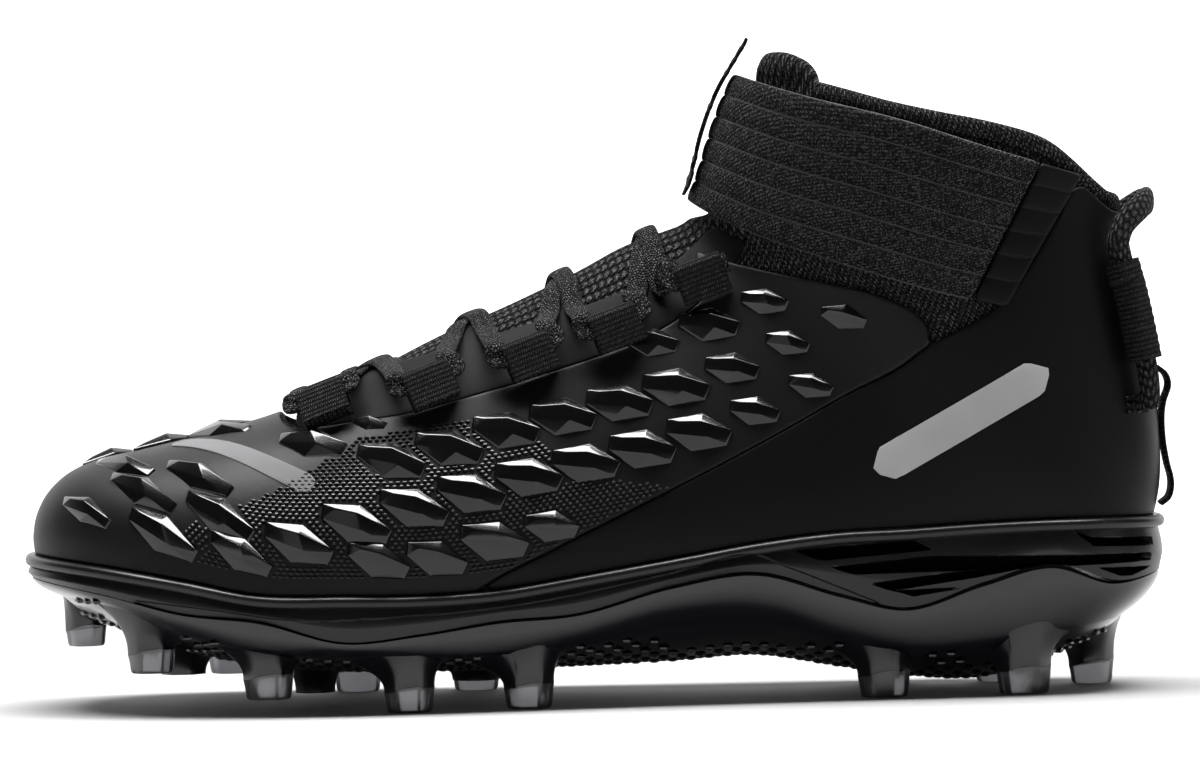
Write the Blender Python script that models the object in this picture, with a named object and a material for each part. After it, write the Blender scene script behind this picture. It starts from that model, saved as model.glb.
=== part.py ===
"""American football cleat, left shoe, mid height, with moulded studs and an ankle strap.

Metres, +Z up. The toe points to -X, the outer side of the foot to -Y, and the floor is z = 0.
Every piece of the upper is cut from one last form, at its own distance from the form's surface.
"""
import math

import bmesh
import bpy
import numpy as np
from mathutils import Vector
from mathutils.bvhtree import BVHTree

# Driving sizes of the shoe
SHOE_LENGTH = 0.298
FORM_WIDTH = 0.094
FORM_HEIGHT = 0.200
SOLE_HEIGHT = 0.0458
TOE_OFFSET = 0.0065

# Wall thicknesses and clearances
GAP = 0.0003
UPPER_WALL = 0.0024
SKIN_WALL = 0.0013
QUARTER_WALL = 0.0011
TONGUE_WALL = 0.0040
STRAP_WALL = 0.0019
TAB_WALL = 0.0014
INSOLE_THICKNESS = 0.0040
BINDING_HEIGHT = 0.0055

# Sole rim
LIP_HEIGHT = 0.0030
LIP_REACH = 0.0042
SIDE_REACH = 0.0030

# Lugs on the vamp: their size, the step along a row, and from one row up to the next
LUG_LENGTH = 0.0180
LUG_WIDTH = 0.0102
LUG_RISE = 0.0026
LUG_EDGE = 0.0006
LUG_PITCH = 0.0147
LUG_SHIFT = -0.0055
LUG_ROW_GAP = 0.0140

# Studs
STUD_TIP_LENGTH = 0.0120
STUD_TIP_WIDTH = 0.0086
STUD_TIP_HEIGHT = 0.0062

# Webbing, lace, strap and rope
LOOP_WIDTH = 0.0130
LOOP_REACH = 0.0105
WEBBING = 0.0010
LACE_WIDTH = 0.0052
LACE_THICKNESS = 0.0022
KEEPER_WIDTH = 0.0140
ROPE_WIDTH = 0.0090
ROPE_THICKNESS = 0.0042
SLEEVE_HEIGHT = 0.0255
TAPE_WIDTH = 0.0100
TAPE_THICKNESS = 0.0012

# Faces round a section, and steps between two rows of the section table
RING_POINTS = 26
SECTION_STEPS = 1
OUTLINE_STATIONS = 20

# Sections of the last form, from the toe tip round the heel to the top of the shaft. Each is a closed
# loop in the plane through its top point and its bottom point. x is a share of SHOE_LENGTH from the toe,
# z a share of FORM_HEIGHT, half a share of half FORM_WIDTH, mid a share of TOE_OFFSET, widest a share of
# the way from top to bottom, and round_top and round_bottom are superellipse powers.
SECTION_COLUMNS = ("top_x", "top_z", "bottom_x", "bottom_z", "half", "mid", "widest", "round_top", "round_bottom")
SECTIONS = (
    (0.0081, 0.230, 0.0081, 0.217, 0.034, 1.00, 0.50, 2.00, 2.0),
    (0.0121, 0.255, 0.0121, 0.193, 0.223, 1.00, 0.50, 2.00, 2.2),
    (0.0221, 0.281, 0.0221, 0.172, 0.394, 1.00, 0.52, 2.10, 2.4),
    (0.0403, 0.304, 0.0403, 0.152, 0.570, 0.95, 0.56, 2.20, 2.6),
    (0.0678, 0.320, 0.0678, 0.135, 0.728, 0.80, 0.60, 2.30, 2.8),
    (0.1107, 0.333, 0.1107, 0.120, 0.864, 0.50, 0.64, 2.30, 2.9),
    (0.1745, 0.355, 0.1745, 0.104, 0.962, 0.12, 0.68, 2.20, 3.0),
    (0.2383, 0.384, 0.2383, 0.093, 1.000, -0.20, 0.70, 2.00, 3.0),
    (0.3037, 0.431, 0.3037, 0.090, 0.996, -0.40, 0.71, 1.85, 3.0),
    (0.3674, 0.478, 0.3691, 0.090, 0.962, -0.42, 0.72, 1.70, 3.0),
    (0.4312, 0.518, 0.4430, 0.095, 0.906, -0.30, 0.74, 1.62, 3.0),
    (0.4883, 0.557, 0.5302, 0.113, 0.847, -0.10, 0.75, 1.60, 3.0),
    (0.5285, 0.588, 0.6409, 0.133, 0.796, 0.05, 0.75, 1.60, 3.0),
    (0.5604, 0.605, 0.7685, 0.142, 0.766, 0.10, 0.74, 1.65, 3.0),
    (0.5839, 0.618, 0.8826, 0.142, 0.749, 0.06, 0.68, 1.70, 2.9),
    (0.5960, 0.636, 0.9631, 0.165, 0.740, 0.00, 0.62, 1.80, 2.7),
    (0.6040, 0.662, 0.9919, 0.250, 0.728, 0.00, 0.57, 1.90, 2.4),
    (0.6117, 0.693, 0.9933, 0.365, 0.711, 0.00, 0.54, 2.00, 2.3),
    (0.6201, 0.732, 0.9852, 0.475, 0.694, 0.00, 0.52, 2.00, 2.2),
    (0.6329, 0.780, 0.9711, 0.585, 0.685, 0.00, 0.50, 2.00, 2.1),
    (0.6510, 0.830, 0.9604, 0.685, 0.689, 0.00, 0.50, 2.00, 2.1),
    (0.6711, 0.890, 0.9614, 0.790, 0.702, 0.00, 0.50, 2.00, 2.1),
    (0.6946, 1.000, 0.9681, 0.925, 0.723, 0.00, 0.50, 2.00, 2.1),
)

# Side view of the sole. x is a share of SHOE_LENGTH from the toe, and the heights are shares of
# SOLE_HEIGHT: bite is where the upper meets the sole's lip, parting where the midsole meets the plate,
# edge the plate's lower edge, belly its underside on the centre line, and tuck how far the edge sits in.
SOLE_COLUMNS = ("x", "bite", "parting", "edge", "belly", "tuck")
SOLE_PROFILE = (
    (0.000, 0.905, 0.775, 0.660, 0.640, 0.195),
    (0.040, 0.880, 0.735, 0.640, 0.560, 0.175),
    (0.077, 0.850, 0.690, 0.600, 0.470, 0.150),
    (0.141, 0.780, 0.590, 0.470, 0.330, 0.110),
    (0.211, 0.690, 0.540, 0.370, 0.250, 0.090),
    (0.282, 0.677, 0.415, 0.332, 0.210, 0.080),
    (0.349, 0.670, 0.450, 0.322, 0.200, 0.080),
    (0.416, 0.690, 0.512, 0.320, 0.200, 0.100),
    (0.483, 0.751, 0.540, 0.355, 0.205, 0.130),
    (0.567, 0.834, 0.680, 0.462, 0.218, 0.160),
    (0.641, 0.910, 0.740, 0.485, 0.240, 0.160),
    (0.711, 0.958, 0.608, 0.358, 0.165, 0.140),
    (0.768, 0.970, 0.522, 0.290, 0.107, 0.120),
    (0.836, 0.991, 0.655, 0.320, 0.085, 0.130),
    (0.896, 1.000, 0.748, 0.370, 0.190, 0.160),
    (0.950, 0.996, 0.635, 0.410, 0.330, 0.200),
    (1.000, 0.985, 0.690, 0.440, 0.420, 0.230),
)

# Studs: x and y are the tip's centre, as shares of SHOE_LENGTH from the toe and of half FORM_WIDTH
# towards the inner side. tip is the tip's height as a share of SOLE_HEIGHT, size scales the stud, and
# sweep leans its root forwards (-1) or backwards (+1).
STUD_COLUMNS = ("name", "x", "y", "tip", "size", "sweep")
STUDS = (
    ("outer_1", 0.112, -0.56, 0.232, 0.95, -1.0),
    ("outer_2", 0.215, -0.79, 0.085, 1.00, -1.0),
    ("outer_3", 0.337, -0.87, 0.000, 1.00, -0.8),
    ("outer_4", 0.440, -0.76, 0.000, 1.00, -0.8),
    ("inner_1", 0.043, 0.50, 0.325, 0.85, -0.4),
    ("inner_2", 0.170, 0.82, 0.125, 1.00, -1.0),
    ("inner_3", 0.283, 0.86, 0.000, 1.00, -0.8),
    ("inner_4", 0.390, 0.76, 0.000, 1.00, -0.8),
    ("heel_outer_front", 0.749, -0.52, 0.000, 1.05, -1.0),
    ("heel_outer_rear", 0.871, -0.50, 0.000, 1.10, 0.8),
    ("heel_inner_front", 0.757, 0.52, 0.000, 1.05, -1.0),
    ("heel_inner_rear", 0.858, 0.52, 0.000, 1.00, 0.6),
    ("heel_back", 0.938, 0.22, 0.000, 0.92, 0.8),
)

# Low pads on the centre line of the forefoot, on the same columns as the studs
PADS = (
    ("pad_front", 0.135, -0.10, 0.190, 0.90, -0.5),
    ("pad_middle", 0.250, 0.00, 0.060, 0.80, 0.0),
    ("pad_rear", 0.392, 0.02, 0.110, 0.95, 0.0),
)

# Side-view lines of the upper. x is a share of SHOE_LENGTH from the toe, z a share of FORM_HEIGHT.
THROAT_LINE = (
    (0.2215, 0.420), (0.2315, 0.375), (0.2584, 0.370), (0.2987, 0.378), (0.3456, 0.388),
    (0.3893, 0.405), (0.4329, 0.422), (0.4732, 0.440), (0.5067, 0.455), (0.5470, 0.477),
    (0.5906, 0.515), (0.6275, 0.570), (0.6544, 0.650), (0.6779, 0.730),
)
COLLAR_LINE = (
    (0.6987, 0.802), (0.7208, 0.792), (0.7621, 0.773), (0.8037, 0.758), (0.8450, 0.745),
    (0.8862, 0.728), (0.9067, 0.713), (0.9272, 0.688), (0.9477, 0.660), (0.9631, 0.648),
    (1.0201, 0.637),
)
QUARTER_FRONT = (
    (0.3893, 0.100), (0.4000, 0.157), (0.4611, 0.204), (0.5218, 0.246), (0.5913, 0.294),
    (0.6436, 0.332), (0.6785, 0.359), (0.7218, 0.394), (0.7654, 0.426), (0.7960, 0.458),
    (0.8540, 0.506), (0.8960, 0.590), (0.9205, 0.654),
)
SKIN_REAR = (
    (0.7919, 0.460), (0.7926, 0.475), (0.7859, 0.493), (0.7685, 0.510), (0.7336, 0.530),
    (0.6819, 0.547), (0.6262, 0.566), (0.5940, 0.580),
)
TONGUE_TOP = (
    (0.5604, 0.900), (0.6342, 0.845), (0.6594, 0.847), (0.6779, 0.840), (0.6913, 0.818), (0.6956, 0.785), (0.6966, 0.730),
)
STRAP_TOP = (
    (0.5604, 0.855), (0.6349, 0.810), (0.6899, 0.782), (0.7718, 0.749), (0.8490, 0.709),
    (0.9258, 0.671),
)
STRAP_BOTTOM = (
    (0.5604, 0.669), (0.5940, 0.645), (0.6483, 0.604), (0.7168, 0.566), (0.7940, 0.527),
    (0.8591, 0.502),
)
TAB_SHARE = 0.090

# Webbing loops from the toe up: the middle of each one's foot, in side view
LOOPS = (
    (0.2752, 0.368), (0.3658, 0.390), (0.4513, 0.425), (0.5268, 0.460), (0.6040, 0.522),
)
LOOP_LEAN = math.radians(24)
THROAT_SLOPE = 0.36
THROAT_ANGLE = math.radians(42)
LACE_LIFT = 0.0017

# The middle row of lugs: x as a share of SHOE_LENGTH, and the climb up the side from the sole's lip as a
# share of FORM_HEIGHT. Lugs shrink towards the rear, and none stand in the bare band over the toe.
LUG_START = 0.5732
LUG_ROW = (
    (0.0450, -0.055), (0.0755, -0.020), (0.1336, 0.0325), (0.1829, 0.075), (0.2299, 0.110), (0.2758, 0.135),
    (0.3292, 0.160), (0.3728, 0.170), (0.4245, 0.185), (0.5218, 0.190), (0.5732, 0.195), (0.6252, 0.205),
    (0.6671, 0.2225), (0.7350, 0.255),
)
LUG_FADE = ((0.060, 0.72), (0.105, 1.0), (0.585, 1.0), (0.630, 0.78), (0.670, 0.66))
LUG_HEXAGON = ((-0.46, 0.44), (0.07, 0.41), (0.50, -0.17), (0.40, -0.47), (-0.12, -0.43), (-0.49, 0.11))
LUG_CREST = ((-0.28, 0.27, 0.60), (0.02, 0.16, 1.00), (0.09, -0.20, 0.78))
TOE_BAND = ((0.135, 0.235), (0.262, 0.120))
TOE_BAND_REACH = 0.0105

# Louvres in the sides of the midsole, x as a share of SHOE_LENGTH and z of SOLE_HEIGHT
LOUVRE_DEPTH = 0.0020
LOUVRES = (
    ((0.6775, 0.828), (0.7730, 0.872), (0.7730, 0.906), (0.6900, 0.850)),
    ((0.7007, 0.755), (0.9750, 0.758), (0.9750, 0.795), (0.7080, 0.782)),
    ((0.7290, 0.683), (0.8600, 0.722), (0.8550, 0.738), (0.7350, 0.712)),
    ((0.7537, 0.605), (0.8150, 0.648), (0.8120, 0.672), (0.7580, 0.632)),
    ((0.9320, 0.842), (0.9800, 0.820), (0.9800, 0.840), (0.9300, 0.864)),
    ((0.9396, 0.720), (0.9740, 0.684), (0.9690, 0.735)),
)

# The step in the side of the midsole, under the crease that climbs from the forefoot to the arch
STEP_DEPTH = 0.0007
STEP_CREASE = (
    (0.1560, 0.655), (0.2500, 0.560), (0.3490, 0.560), (0.4160, 0.590), (0.4830, 0.650), (0.5670, 0.755), (0.6290, 0.850),
    (0.6680, 0.765), (0.7050, 0.665), (0.7450, 0.555),
)

# Ribs along the underside of the arch: y as a share of half FORM_WIDTH, and the ends as shares of SHOE_LENGTH
RIB_WIDTH = 0.0026
RIB_HEIGHT = 0.0022
RIB_SPAN = (0.500, 0.715)
ARCH_RIBS = (-0.30, 0.0, 0.30)

# Pull rope down both sides of the heel: y as a share of half FORM_WIDTH, then a share of the sleeve's
# height from its foot, the height above that place, and the gap between the rope's middle and the quarter
SLEEVE_FOOT = 0.430
SLEEVE_PLACE = 0.390
HEEL_TOP = 0.6075
ROPE_ROUTE = (
    (-0.380, 0.0, -0.0125, 0.0030), (-SLEEVE_PLACE, 0.0, -0.0030, 0.0042), (-SLEEVE_PLACE, 1.0, 0.0005, 0.0042),
    (-0.376, 1.0, 0.0065, 0.0046), (-0.302, 1.0, 0.0115, 0.0052), (-0.158, 1.0, 0.0148, 0.0056), (0.0, 1.0, 0.0157, 0.0058),
)

# Heel tape: z from top to bottom and how far each stands off the quarter
TAPE_ROUTE = (
    (0.0835, 0.0000), (0.0815, 0.0020), (0.0785, 0.0024), (0.0745, 0.0008), (0.0700, 0.0000), (0.0640, 0.0000),
    (0.0585, 0.0008), (0.0535, 0.0022), (0.0495, 0.0022), (0.0475, 0.0004),
)


def shares(pairs):
    """Side-view points in metres from shares of the shoe's length and the form's height."""
    return [(along(x), z * FORM_HEIGHT) for x, z in pairs]


def along(share):
    """The x of a share of the shoe's length from the toe."""
    return (share - 0.5) * SHOE_LENGTH


def spline(rows, count):
    """Rows of numbers resampled by a uniform Catmull-Rom curve, count steps to each interval."""
    data = np.array(rows, float)
    ends = np.vstack([2 * data[0] - data[1], data, 2 * data[-1] - data[-2]])
    made = []
    for i in range(len(data) - 1):
        a, b, c, d = ends[i : i + 4]
        for t in np.arange(count) / count:
            made.append(
                0.5 * (2 * b + (c - a) * t + (2 * a - 5 * b + 4 * c - d) * t**2 + (3 * b - a - 3 * c + d) * t**3)
            )
    made.append(data[-1])
    return np.array(made)


def smooth_line(pairs, count=2):
    """A side-view line in metres, smoothed between its points."""
    return [tuple(p) for p in spline(shares(pairs), count)]


def sole_height(x, column):
    """A column of SOLE_PROFILE at x, in metres, along a cubic through the rows."""
    table = np.array(SOLE_PROFILE)
    share = min(1.0, max(0.0, x / SHOE_LENGTH + 0.5))
    xs, ys = table[:, 0], table[:, SOLE_COLUMNS.index(column)]
    slopes = np.gradient(ys, xs)
    i = min(len(xs) - 2, int(np.searchsorted(xs, share, side="right")) - 1)
    width = xs[i + 1] - xs[i]
    t = (share - xs[i]) / width
    value = (
        (2 * t**3 - 3 * t**2 + 1) * ys[i]
        + (t**3 - 2 * t**2 + t) * width * slopes[i]
        + (3 * t**2 - 2 * t**3) * ys[i + 1]
        + (t**3 - t**2) * width * slopes[i + 1]
    )
    return value * SOLE_HEIGHT


def power(value, exponent):
    """A signed power, as a superellipse needs."""
    return math.copysign(abs(value) ** exponent, value)


def form_rings():
    """The closed loops of the last form, as an array of section, point, coordinate."""
    rings = []
    for row in spline(SECTIONS, SECTION_STEPS):
        section = dict(zip(SECTION_COLUMNS, row))
        top = np.array([along(section["top_x"]), section["top_z"] * FORM_HEIGHT])
        bottom = np.array([along(section["bottom_x"]), section["bottom_z"] * FORM_HEIGHT])
        half, widest = section["half"] * FORM_WIDTH / 2, section["widest"]
        ring = []
        for k in range(RING_POINTS):
            angle = 2 * math.pi * k / RING_POINTS
            up, out = math.cos(angle), -math.sin(angle)
            if up >= 0:
                down, across = widest * (1 - power(up, 2 / section["round_top"])), power(out, 2 / section["round_top"])
            else:
                down = widest - (1 - widest) * power(up, 2 / section["round_bottom"])
                across = power(out, 2 / section["round_bottom"])
            x, z = top + (bottom - top) * down
            ring.append((x, section["mid"] * TOE_OFFSET + across * half, z))
        rings.append(ring)
    return np.array(rings)


def loft(rings):
    """A bmesh of triangles lofted through closed rings, with a face over the first and the last."""
    bm = bmesh.new()
    rows = [[bm.verts.new(p) for p in ring] for ring in rings]
    count = len(rows[0])
    for a, b in zip(rows, rows[1:]):
        for k in range(count):
            after = (k + 1) % count
            bm.faces.new((a[k], a[after], b[after]))
            bm.faces.new((a[k], b[after], b[k]))
    bm.faces.new(rows[0])
    bm.faces.new(rows[-1])
    bmesh.ops.recalc_face_normals(bm, faces=bm.faces[:])
    bm.normal_update()
    return bm


def new_object(name, bm, finish=None, helper=False):
    """An object from a bmesh, in the shoe's collection or among the cutters."""
    mesh = bpy.data.meshes.new(name)
    bm.to_mesh(mesh)
    bm.free()
    obj = bpy.data.objects.new(name, mesh)
    (CUTTERS if helper else PIECES).objects.link(obj)
    if helper:
        obj.hide_render = True
        obj.display_type = "WIRE"
    else:
        obj.parent = FRAME
        mesh.shade_smooth()
        mesh.set_sharp_from_angle(angle=math.radians(38))
        mesh.materials.append(MATERIALS[finish])
    return obj


def form_body(offset, first=0):
    """The last form as a closed bmesh, moved out by an offset that is a length or a function of a point."""
    bm = loft(form_rings()[first:])
    moves = [(v, v.normal * (offset(v.co) if callable(offset) else offset)) for v in bm.verts]
    for v, move in moves:
        v.co += move
    return bm


def prism(name, outline, low=-0.15, high=0.15):
    """A cutter: a side-view outline of x, z points, extruded across the shoe from y low to y high."""
    bm = bmesh.new()
    face = bm.faces.new([bm.verts.new((x, low, z)) for x, z in outline])
    made = bmesh.ops.extrude_face_region(bm, geom=[face])
    moved = [v for v in made["geom"] if isinstance(v, bmesh.types.BMVert)]
    bmesh.ops.translate(bm, verts=moved, vec=(0, high - low, 0))
    bmesh.ops.recalc_face_normals(bm, faces=bm.faces[:])
    return new_object(name, bm, helper=True)


def boolean(obj, operation, other):
    """One exact Boolean modifier on obj."""
    modifier = obj.modifiers.new(other.name, "BOOLEAN")
    modifier.operation = operation
    modifier.object = other
    modifier.solver = "EXACT"


def shell(name, finish, inner, outer, outline, first=0):
    """A wall of the upper between two offsets of the last form, cut to a side-view outline."""
    obj = new_object(name, form_body(outer, first), finish)
    boolean(obj, "DIFFERENCE", new_object(name + "_inside", form_body(inner, first), helper=True))
    boolean(obj, "INTERSECT", prism(name + "_outline", outline))
    return obj


def bite_line(drop=0.0, start=-0.05, end=1.05, count=19):
    """The line where the upper meets the sole, in side view, lowered by drop."""
    points = []
    for share in np.linspace(start, end, count):
        points.append((along(share), sole_height(along(share), "bite") - drop))
    return points


def form_point(x, z, side):
    """The point and normal of the last form at x, z on one side, -1 for the outer and +1 for the inner."""
    hit = FORM.ray_cast(Vector((x, side * 0.2, z)), Vector((0, -side, 0)))
    return hit[0], hit[1]


def girth_point(x, angle):
    """The point and normal of the form at x, at an angle from straight up towards the outer side."""
    low, ridge = sole_height(x, "bite"), FORM.ray_cast(Vector((x, 0, 0.3)), Vector((0, 0, -1)))[0].z
    direction = Vector((0, -math.sin(angle), math.cos(angle)))
    hit = FORM.ray_cast(Vector((x, 0, min(low + 0.012, (low + ridge) / 2))), direction)
    return hit[0], hit[1] if hit[1].dot(direction) > 0 else -hit[1]


def drape_curve(x, side):
    """Angles and arc lengths up one side of the form at x, from the sole's lip to the ridge."""
    angles = np.radians(np.arange(100.0, -0.1, -4.0))
    points = [girth_point(x, -side * a)[0] for a in angles]
    lengths = np.concatenate([[0], np.cumsum([(b - a).length for a, b in zip(points, points[1:])])])
    return angles, lengths


def drape(x, climb, side):
    """The point and normal at x, a length climb up the side of the form from the sole's lip."""
    x = max(x, along(0.012))
    angles, lengths = drape_curve(x, side)
    return girth_point(x, -side * float(np.interp(climb, lengths, angles)))


def lug_places(side):
    """The x, climb and size of every lug on one side of the vamp."""
    starts, climbs = (np.array(column) for column in zip(*LUG_ROW))
    fade_at, fade = zip(*LUG_FADE)
    places = []
    for row in range(-3, 5):
        for column in range(-12, 6):
            x = along(LUG_START) + column * LUG_PITCH + row * LUG_SHIFT
            share = x / SHOE_LENGTH + 0.5
            climb = float(np.interp(share, starts, climbs)) * FORM_HEIGHT + row * LUG_ROW_GAP
            if not LUG_ROW[0][0] < share < LUG_ROW[-1][0] or (side < 0 and in_toe_band(share, climb)):
                continue
            length = drape_curve(x, side)[1][-1]
            if not LUG_WIDTH * 0.52 < climb < length - LUG_WIDTH * 0.52:
                continue
            room = min(line_gaps(drape(x, climb, side)[0])) / (LUG_LENGTH * 0.5)
            size = min(1.0, room, float(np.interp(share, fade_at, fade)))
            if size > 0.55:
                places.append((x, climb, size))
    return places


def in_toe_band(share, climb):
    """Whether a place on the vamp lies in the bare band over the toe."""
    (ax, ay), (bx, by) = ((x * SHOE_LENGTH, y * FORM_HEIGHT) for x, y in TOE_BAND)
    px, py = share * SHOE_LENGTH - ax, climb - ay
    t = min(1.0, max(0.0, (px * (bx - ax) + py * (by - ay)) / ((bx - ax) ** 2 + (by - ay) ** 2)))
    return math.hypot(px - t * (bx - ax), py - t * (by - ay)) < TOE_BAND_REACH


def line_gaps(point):
    """How far a point lies inside the skin's throat, quarter and rear lines, in side view."""
    throat, front, rear = (smooth_line(line) for line in (THROAT_LINE, QUARTER_FRONT, SKIN_REAR))
    below = np.interp(point.x, [p[0] for p in throat], [p[1] for p in throat]) - point.z
    if point.x < throat[2][0]:
        below = math.dist((point.x, point.z), throat[2]) - LACE_WIDTH * 1.2
    ahead = np.interp(point.z, [p[1] for p in front], [p[0] for p in front]) - point.x
    under = 1.0
    if point.z > rear[0][1] or point.x > rear[-1][0]:
        under = min(math.dist((point.x, point.z), p) for p in rear)
        if point.z > np.interp(point.x, [p[0] for p in rear[::-1]], [p[1] for p in rear[::-1]]):
            under = -under
    return below * 1.12, ahead * 0.54, under


def add_lug(bm, x, climb, size, side):
    """One raised lug: a slanting hexagon draped on the form, cut like a gem to a peak near its upper edge."""

    def corner(ahead, up, lift):
        """A corner of the lug, ahead and up in shares of its length and width, lifted off the form."""
        point, normal = drape(x + ahead * size * LUG_LENGTH, climb + up * size * LUG_WIDTH, side)
        return bm.verts.new(point + normal * lift)

    foot, top = GAP + SKIN_WALL * 0.4, GAP + SKIN_WALL
    base = [corner(ahead, up, top + LUG_EDGE * size) for ahead, up in LUG_HEXAGON]
    crest = [corner(ahead, up, top + high * LUG_RISE * size) for ahead, up, high in LUG_CREST]
    corners = base + crest + [corner(0.0, 0.0, foot)]
    faces = ((0, 1, 7, 6), (1, 2, 7), (2, 3, 8, 7), (3, 4, 8), (4, 5, 8), (5, 6, 7, 8), (5, 0, 6))
    for face in faces:
        bm.faces.new([corners[i] for i in face])
    for k in range(6):
        bm.faces.new((base[k], base[(k + 1) % 6], corners[9]))


def plan_outline():
    """The form's outline where it meets the sole, with its outward direction in plan at each point."""
    heights = sole_height(along(0), "bite"), sole_height(along(1), "bite")
    toe = FORM.ray_cast(Vector((-0.3, TOE_OFFSET, heights[0])), Vector((1, 0, 0)))[0].x
    heel = FORM.ray_cast(Vector((0.3, 0, heights[1])), Vector((-1, 0, 0)))[0].x
    sides = []
    for side in (-1, 1):
        row = []
        for i in range(OUTLINE_STATIONS):
            x = toe + (heel - toe) * (1 - math.cos(math.pi * (i + 0.5) / OUTLINE_STATIONS)) / 2
            point = form_point(x, sole_height(x, "bite"), side)[0]
            row.append((x, point.y))
        sides.append(row)
    loop = np.array(sides[0] + sides[1][::-1])
    tangent = np.roll(loop, -1, axis=0) - np.roll(loop, 1, axis=0)
    outward = np.stack([tangent[:, 1], -tangent[:, 0]], axis=1)
    return loop, outward / np.linalg.norm(outward, axis=1, keepdims=True)


def sole_ring(reach, height, spread=1.0):
    """A ring round the sole: reach beyond the form, height a function of x, drawn in by spread."""
    loop, outward = OUTLINE
    points = []
    for i, ((x, y), (nx, ny)) in enumerate(zip(loop, outward)):
        across = loop[len(loop) - 1 - i][1]
        out = reach(x) if callable(reach) else reach
        px, py, middle = x + nx * out, y + ny * out, (y + across) / 2
        px *= 1 - (1 - spread) * 0.05
        points.append((px, middle + (py - middle) * spread, height(px)))
    return points


def sole_body(rings):
    """A closed bmesh through rings round the sole, its top and bottom ruled from side to side."""
    bm = bmesh.new()
    rows = [[bm.verts.new(p) for p in ring] for ring in rings]
    count = len(rows[0])
    for a, b in zip(rows, rows[1:]):
        for k in range(count):
            bm.faces.new((a[k], a[(k + 1) % count], b[(k + 1) % count], b[k]))
    for row in (rows[0], rows[-1]):
        for k in range(count // 2 - 1):
            bm.faces.new((row[k], row[k + 1], row[count - 2 - k], row[count - 1 - k]))
    bmesh.ops.recalc_face_normals(bm, faces=bm.faces[:])
    return bm


def height_of(column, lift=0.0):
    """A height function of x from a column of SOLE_PROFILE, raised by lift."""
    return lambda x: sole_height(x, column) + lift


def blend(first, second, share, lift=0.0):
    """A height function of x, a share of the way from one column to another."""
    return lambda x: sole_height(x, first) * (1 - share) + sole_height(x, second) * share + lift


def midsole_rings(inset=0.0):
    """The midsole's rings, from its bed over the lip to the parting line."""
    side = SIDE_REACH - inset
    return [
        sole_ring(LIP_REACH - 0.0012 - inset, height_of("bite", -1.6 * GAP)),
        sole_ring(LIP_REACH - inset, height_of("bite", -GAP - 0.0009)),
        sole_ring(LIP_REACH - inset, height_of("bite", 0.0008 - LIP_HEIGHT)),
        sole_ring(side - 0.0006, height_of("bite", -LIP_HEIGHT)),
        sole_ring(side + 0.0004, blend("bite", "parting", 0.60)),
        sole_ring(side - 0.0006, height_of("parting")),
    ]


def build_upper():
    """The knit base of the upper, one hollow wall open at throat, collar and underneath."""
    collar = [(x, z - BINDING_HEIGHT) for x, z in smooth_line(COLLAR_LINE)]
    throat = smooth_line(THROAT_LINE)
    outline = bite_line() + collar[::-1] + throat[::-1] + [(along(-0.05), throat[0][1])]
    return shell("upper", "knit", -UPPER_WALL, 0.0, outline)


def build_binding():
    """The rolled knit edge on top of the collar."""
    rim = smooth_line(COLLAR_LINE)
    low = [(x, z - BINDING_HEIGHT + GAP) for x, z in rim]
    return shell("collar_binding", "knit", -UPPER_WALL - 0.0012, 0.0009, low + rim[::-1])


def build_skin():
    """The moulded film over the forefoot, with its lugs."""
    throat = [(x, z - 0.0015) for x, z in smooth_line(THROAT_LINE)]
    throat = [(x, z) for x, z in throat if x < along(0.600)]
    front = [(x - 0.0004, z) for x, z in smooth_line(QUARTER_FRONT) if z < SKIN_REAR[0][1] * FORM_HEIGHT]
    front = [(x, z) for x, z in front if z > sole_height(x, "bite") + 0.0003]
    bite = [(x, z) for x, z in bite_line(-0.00005) if x < front[0][0]]
    outline = bite + front + smooth_line(SKIN_REAR) + throat[::-1] + [(along(-0.05), throat[0][1])]
    skin = shell("vamp_skin", "film", GAP, GAP + SKIN_WALL, outline)
    lugs = bmesh.new()
    for side in (-1, 1):
        for x, climb, size in lug_places(side):
            add_lug(lugs, x, climb, size, side)
    bmesh.ops.recalc_face_normals(lugs, faces=lugs.faces[:])
    boolean(skin, "UNION", new_object("vamp_lugs", lugs, helper=True))
    return skin


def build_quarter():
    """The smooth shell round the heel and both sides."""
    front = smooth_line(QUARTER_FRONT)
    rim = [(x, z - BINDING_HEIGHT) for x, z in smooth_line(COLLAR_LINE) if x > front[-1][0] + 0.002]
    bite = [(x, z) for x, z in bite_line(-0.00005) if x > front[4][0]]
    outline = bite + rim[::-1] + front[::-1]
    outline = [p for p in outline if p[1] >= sole_height(p[0], "bite")]
    return shell("heel_quarter", "quarter", GAP, GAP + QUARTER_WALL, outline)


def build_tongue():
    """The padded front of the bootie, under the throat's edges and up over the collar."""
    tuck = -UPPER_WALL - GAP * 2.5
    low = [(x + 0.005, z - 0.010) for x, z in smooth_line(THROAT_LINE)]
    low[0] = (low[0][0] - 0.012, low[0][1] + 0.006)
    low = [p for p in low if p[0] < along(TONGUE_TOP[-1][0])]
    outline = low + smooth_line(TONGUE_TOP)[::-1] + [(along(0.15), 0.150), (low[0][0], 0.120)]
    def roll(point):
        """The tongue's outer face, which comes out over the strap at its top."""
        rise = min(1.0, max(0.0, (point.z - 0.1595) / 0.006)) * min(1.0, max(0.0, (0.058 - point.x) / 0.008))
        return tuck + (0.0010 - tuck) * rise * rise * (3 - 2 * rise)

    return shell("tongue", "knit", tuck - TONGUE_WALL, roll, outline, first=4 * SECTION_STEPS)


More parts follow.
